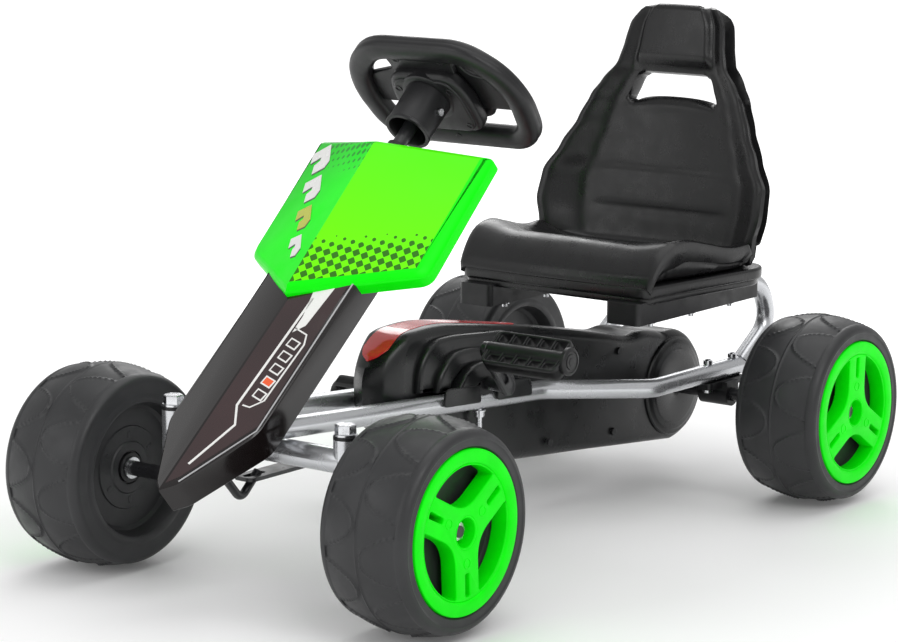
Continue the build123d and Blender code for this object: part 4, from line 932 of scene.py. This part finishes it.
rear_arc = [(REAR_X + 68 * cos(radians(a)), 110 + 68 * sin(radians(a))) for a in range(78, 265, 6)]
upper_edge = rounded([(180, 152), (184, 202), (168, 228), (138, 246), (82, 249), (20, 240), (-64, 226),
                      (-182, 203),
                      (-277, 184), (-306, 187), (-340, 180), (-352, 176)],
                     [0, 14, 18, 26, 30, 30, 30, 40, 14, 14, 8, 0], 7)
lower_edge = rounded([(-372, 42), (-199, 60), (-54, 72), (92, 104), (180, 152)], [0, 20, 20, 24, 0], 5)
case_outline = spaced(upper_edge + rear_arc + lower_edge[:-1])
bm = bmesh.new()
CASE_EDGE = 11.0
levels = [sin(pi / 2 * k / 6) for k in range(7)]
rows = []
for side in (-1, 1):
    for share in (levels if side > 0 else levels[::-1]):
        amount = CASE_EDGE * (1 - sqrt(max(0.0, 1 - share * share)))
        ring = inset_outline(case_outline, amount) if amount > 0.001 else case_outline
        row = []
        for x, z in ring:
            y = side * (case_half(x) - CASE_EDGE * (1 - share))
            if x > CASE_NOSE_X:
                x = CASE_NOSE_X + (x - CASE_NOSE_X) * sqrt(max(0.03,
                                                               1 - (abs(y) / CASE_NOSE_HALF) ** 2))
            row.append((x, y, z))
        rows.append(row)
    if side < 0:
        rows.append([(x, 0.0, z) for x, z in case_outline])
loft(bm, rows)
for s in (1, -1):
    arches = [(131, -54, 238, 37.5, 0), (108, -40, 222, 46.0, 1), (86, -26, 206, 55.0, 2)]
    for x1, x0, z1, y_out, k in arches:
        low1, low0 = 179.5 - (131 - x1) * 0.075, 163 + 0.05 * k
        arch = [(x1, low1 + 0.5), (x1 - 3, z1 - 26), (x1 - 26, z1 - 3), (x1 - 60, z1 - 2),
                (x0 + 18, z1 - 12),
                (x0 + 2, z1 - 34), (x0 - 4, low0 + 4)]
        if k:
            arch += [(x0 + 24, low0 + 4), (x0 + 24, z1 - 38), (x0 + 34, z1 - 26), (x1 - 44, z1 - 22),
                     (x1 - 26, z1 - 36), (x1 - 22, low1 - 1)]
        corners = [2, 18, 20, 20, 20, 16, 3] + ([3, 8, 10, 12, 10, 2] if k else [])
        matrix = Matrix(((1, 0, 0, 0), (0, 0, s, 0), (0, 1, 0, 0), (0, 0, 0, 1)))
        plate(bm, [rounded(arch, corners, 7)], 18 if k == 0 else 30, y_out, 5.5 if k < 2 else 4.5,
              matrix, 5)
    for x0, x1 in ((45, 112), (-50, 16)):
        z0, z1 = 158.5 + x0 * 0.0756, 158.5 + x1 * 0.0756
        skirt = [(x0, z0 - 2), (x1, z1 - 2), (x1 - 4, z1 + 18), (x0 + 2, z0 + 18)]
        plate(bm, [rounded(skirt, [4, 6, 8, 8], 5)], 53.4, 56.6, 1.2, matrix, 3)
piece(bm, "chain_case", "case_plastic", "frame", ["chain_case_left", "chain_case_right"], sharp=42)

# Red sticker over the crown, following its curve.
bm = bmesh.new()
crown = [Vector(p) for p in rounded([(174, 219), (168, 228), (138, 246), (82, 249), (20, 240),
                                     (-64, 226), (-90, 222)],
                                    [0, 18, 26, 30, 30, 30, 0], 7)]
lengths = [0.0]
for a, b in zip(crown, crown[1:]):
    lengths.append(lengths[-1] + (b - a).length)
upper, lower = [], []
total = lengths[-1]
for i, p in enumerate(crown):
    before, after = crown[max(0, i - 1)], crown[min(len(crown) - 1, i + 1)]
    d = (after - before).normalized()
    n = Vector((-d.y, d.x)) if d.x > 0 else Vector((d.y, -d.x))
    s = lengths[i]
    wide = 17.5 * sqrt(min(1.0, max(0.0, s / 17.0))) * (1 - 0.45 * (s / total)) * sqrt(max(0.0,
            min(1.0, (total - s) / 14)))
    wide = max(wide, 0.4)
    rows = []
    for height in (0.45, -0.2):
        row = []
        for k in range(9):
            y = wide * (k / 4 - 1)
            x = p.x + n.x * height
            if x > CASE_NOSE_X:
                x = CASE_NOSE_X + (x - CASE_NOSE_X) * sqrt(max(0.03,
                                                               1 - (abs(y) / CASE_NOSE_HALF) ** 2))
            row.append(bm.verts.new((x, y, p.y + n.y * height)))
        rows.append(row)
    upper.append(rows[0])
    lower.append(rows[1])
for i in range(len(crown) - 1):
    for k in range(8):
        bm.faces.new((upper[i][k], upper[i][k + 1], upper[i + 1][k + 1], upper[i + 1][k]))
        bm.faces.new((lower[i][k + 1], lower[i][k], lower[i + 1][k], lower[i + 1][k + 1]))
    for k in (0, 8):
        bm.faces.new((upper[i][k], upper[i + 1][k], lower[i + 1][k], lower[i][k]))
for i in (0, len(crown) - 1):
    for k in range(8):
        bm.faces.new((upper[i][k], lower[i][k], lower[i][k + 1], upper[i][k + 1]))
piece(bm, "case_sticker", "case_plastic", "frame", material=red_ink)

# Sprocket cover with concentric steps.
bm = bmesh.new()
cover = frame_at((REAR_X, 37.05, 110), (1, 0, 0), (0, 1, 0))
turned(bm, [(60, 0), (60, 1.6), (58.6, 2.9), (54.5, 3.2), (53, 4.4), (51.5, 5.0), (47, 5.1),
            (45.6, 5.6), (44, 5.9),
            (12, 5.95), (10.5, 5.4), (9.1, 5.0), (9.1, 0)], cover, 128)
piece(bm, "sprocket_cover_disc", "case_plastic", "frame", ["sprocket_cover"])


# ======================================================================================
# Pedals and crank arms
# ======================================================================================
CRANK_X, CRANK_Z, CRANK_LENGTH, CRANK_ANGLE = 30.0, 178.5, 60.0, radians(51)
for side, word, tilt in ((1, "left", 38), (-1, "right", -52)):
    angle = CRANK_ANGLE if side > 0 else CRANK_ANGLE + pi
    pin = Vector((CRANK_X + CRANK_LENGTH * cos(angle), side * 135.5,
                  CRANK_Z + CRANK_LENGTH * sin(angle)))
    place = Matrix.Translation(pin) @ Matrix.Rotation(radians(tilt), 4, "Y")
    bm = bmesh.new()
    holes = []
    for along in (-1, 1):
        for k in range(5):
            y = -36 + 18 * k
            holes.append(rounded([(along * 15 - 4.8, y - 7), (along * 15 + 4.8, y - 7),
                                  (along * 15 + 4.8, y + 7),
                                  (along * 15 - 4.8, y + 7)], 2.5, 3))
    body = rounded([(-23, -50), (23, -50), (23, 50), (-23, 50)], 10, 6)
    plate(bm, [body] + holes, -5.5, 5.5, 1.2, place, 2)
    inner = rounded([(-19.8, -46.8), (19.8, -46.8), (19.8, 46.8), (-19.8, 46.8)], 7, 6)
    plate(bm, [body, inner], -8, 8, 1.1, place, 2)
    for k in range(6):
        y = -45 + 18 * k
        plate(bm, [rounded([(-21, y - 1), (21, y - 1), (21, y + 1), (-21, y + 1)], 0.6, 2)], -7.6, 7.6,
              0.5, place, 1)
    spindle = frame_at((pin.x, pin.y, pin.z), (1, 0, 0), (0, 1, 0))
    turned(bm, [(9.8, -49.6), (9.8, 49.6), (8.4, 50), (5.2, 50), (5.2, -50), (8.4, -50)], spindle, 40)
    piece(bm, f"pedal_{word}_body", "black_plastic", f"pedal_{word}", [f"pedal_{word}"])

    bm = bmesh.new()
    outward = frame_at((pin.x, side * 185.6, pin.z), (1, 0, 0), (0, side, 0))
    turned(bm, [(15, 0), (15, 3.6), (13.8, 5.0), (11.5, 5.6), (11, 4.6), (8.5, 4.4), (8.0, 5.4),
                (0.01, 5.8), (0.01, 0)],
           outward, 48, closed=False)
    hexagon = [(5.4 * cos(radians(60 * k)), 5.4 * sin(radians(60 * k))) for k in range(6)]
    plate(bm, [rounded(hexagon, 0.6, 2)], 2, 6.0, 0.4, outward, 1)
    piece(bm, f"pedal_{word}_cap", "black_plastic", f"pedal_{word}", [f"pedal_cap_{word}"])

    bm = bmesh.new()
    arm = Matrix(((1, 0, 0, CRANK_X), (0, 0, side, side * 76.2), (0, 1, 0, CRANK_Z), (0, 0, 0, 1)))
    turn = Matrix.Rotation(angle, 4, "Z")
    arm = arm @ turn
    half_ring = [(CRANK_LENGTH + 9 * cos(radians(a)), 9 * sin(radians(a))) for a in range(-90, 91, 12)]
    other = [(9.8 * cos(radians(a)), 9.8 * sin(radians(a))) for a in range(90, 271, 12)]
    flute_end = [(CRANK_LENGTH - 9 + 3.4 * cos(radians(a)), 3.4 * sin(radians(a))) for a in range(-90,
            91, 18)]
    flute_start = [(11 + 4.2 * cos(radians(a)), 4.2 * sin(radians(a))) for a in range(90, 271, 18)]
    plate(bm, [half_ring + other, flute_end + flute_start], 0, 7.8, 1.4, arm, 3)
    plate(bm, [half_ring + other], 1.5, 4.6, 1.0, arm, 2)
    knob = frame_at((pin.x, side * 80, pin.z), (1, 0, 0), (0, side, 0))
    turned(bm, [(5, 0), (5, 104.5), (0.01, 104.5), (0.01, 0)], knob, 32, closed=False)
    piece(bm, f"crank_arm_{word}_forged", "black_steel", "crank", [f"crank_arm_{word}"])

# ======================================================================================
# Floor, light and camera
# ======================================================================================
def floor_material():
    m = bpy.data.materials.new("studio_floor")
    m.use_nodes = True
    nt = m.node_tree
    shader = nt.nodes["Principled BSDF"]
    coords = node(nt, "ShaderNodeTexCoord").outputs["Object"]
    cloud = noise(nt, coords, 1.2, 3.0)
    nt.links.new(mix(nt, cloud, (0.83, 0.83, 0.83, 1), (0.87, 0.87, 0.87, 1)),
                 shader.inputs["Base Color"])
    shader.inputs["Roughness"].default_value = 0.7
    # Painted light: the floor glows by emission, faintly near the kart and up to 0.65 away from it,
    # whitening the far floor and lighting the kart from below.
    distance = node(nt, "ShaderNodeVectorMath", {0: coords}, operation="LENGTH").outputs["Value"]
    nt.links.new(node(nt, "ShaderNodeMapRange", {0: distance, 1: 0.35, 2: 2.0, 3: 0.04,
                                                 4: 0.65}).outputs[0],
                 shader.inputs["Emission Strength"])
    shader.inputs["Emission Color"].default_value = (1, 1, 1, 1)
    return m


floor_mesh = bpy.data.meshes.new("floor")
floor_mesh.from_pydata([(-14, -14, 0), (14, -14, 0), (14, 14, 0), (-14, 14, 0)], [], [(0, 1, 2, 3)])
floor_mesh.materials.append(floor_material())
floor = bpy.data.objects.new("floor", floor_mesh)
bpy.context.scene.collection.objects.link(floor)


def area_light(name, place, target, size, power, colour=(1, 1, 1)):
    light = bpy.data.lights.new(name, "AREA")
    light.shape = "RECTANGLE"
    light.size, light.size_y = size
    light.energy = power
    light.color = colour
    obj = bpy.data.objects.new(name, light)
    obj.location = place
    obj.rotation_mode = "QUATERNION"
    obj.rotation_quaternion = (Vector(target) - Vector(place)).to_track_quat("-Z", "Y")
    bpy.context.scene.collection.objects.link(obj)


area_light("key", (1.4, 2.6, 2.6), (0, 0, 0.25), (2.0, 1.6), 34)
area_light("front_fill", (3.0, -1.2, 1.6), (0.1, 0, 0.25), (2.2, 1.8), 16)
area_light("top", (-0.4, 0.2, 3.0), (0, 0, 0.2), (2.6, 2.6), 28)
area_light("back_rim", (-2.4, -1.6, 1.9), (0, 0, 0.35), (1.8, 1.4), 24)

world = bpy.data.worlds.new("studio")
world.use_nodes = True
bpy.context.scene.world = world
tree = world.node_tree
tree.nodes["Background"].inputs[0].default_value = (1.0, 1.0, 1.0, 1)
seen = node(tree, "ShaderNodeLightPath").outputs["Is Camera Ray"]
tree.links.new(calc(tree, "MULTIPLY_ADD", seen, 0.4, 0.6), tree.nodes["Background"].inputs[1])

CAMERA_AZIMUTH = radians(127.32)
CAMERA_ELEVATION = radians(10.41)
CAMERA_ROLL = radians(0.20)
camera_data = bpy.data.cameras.new("camera")
camera_data.sensor_width = 36
camera_data.lens = 115.5
camera = bpy.data.objects.new("camera", camera_data)
back = Vector((sin(CAMERA_AZIMUTH) * cos(CAMERA_ELEVATION),
               -cos(CAMERA_AZIMUTH) * cos(CAMERA_ELEVATION),
               sin(CAMERA_ELEVATION)))
camera.location = (2.5112, 1.8912, 0.815)
camera.rotation_mode = "QUATERNION"
camera.rotation_quaternion = Matrix.Rotation(CAMERA_ROLL, 3,
                                             back).to_quaternion() @ (-back).to_track_quat("-Z", "Y")
bpy.context.scene.collection.objects.link(camera)
bpy.context.scene.camera = camera
bpy.context.scene.view_settings.view_transform = "Standard"
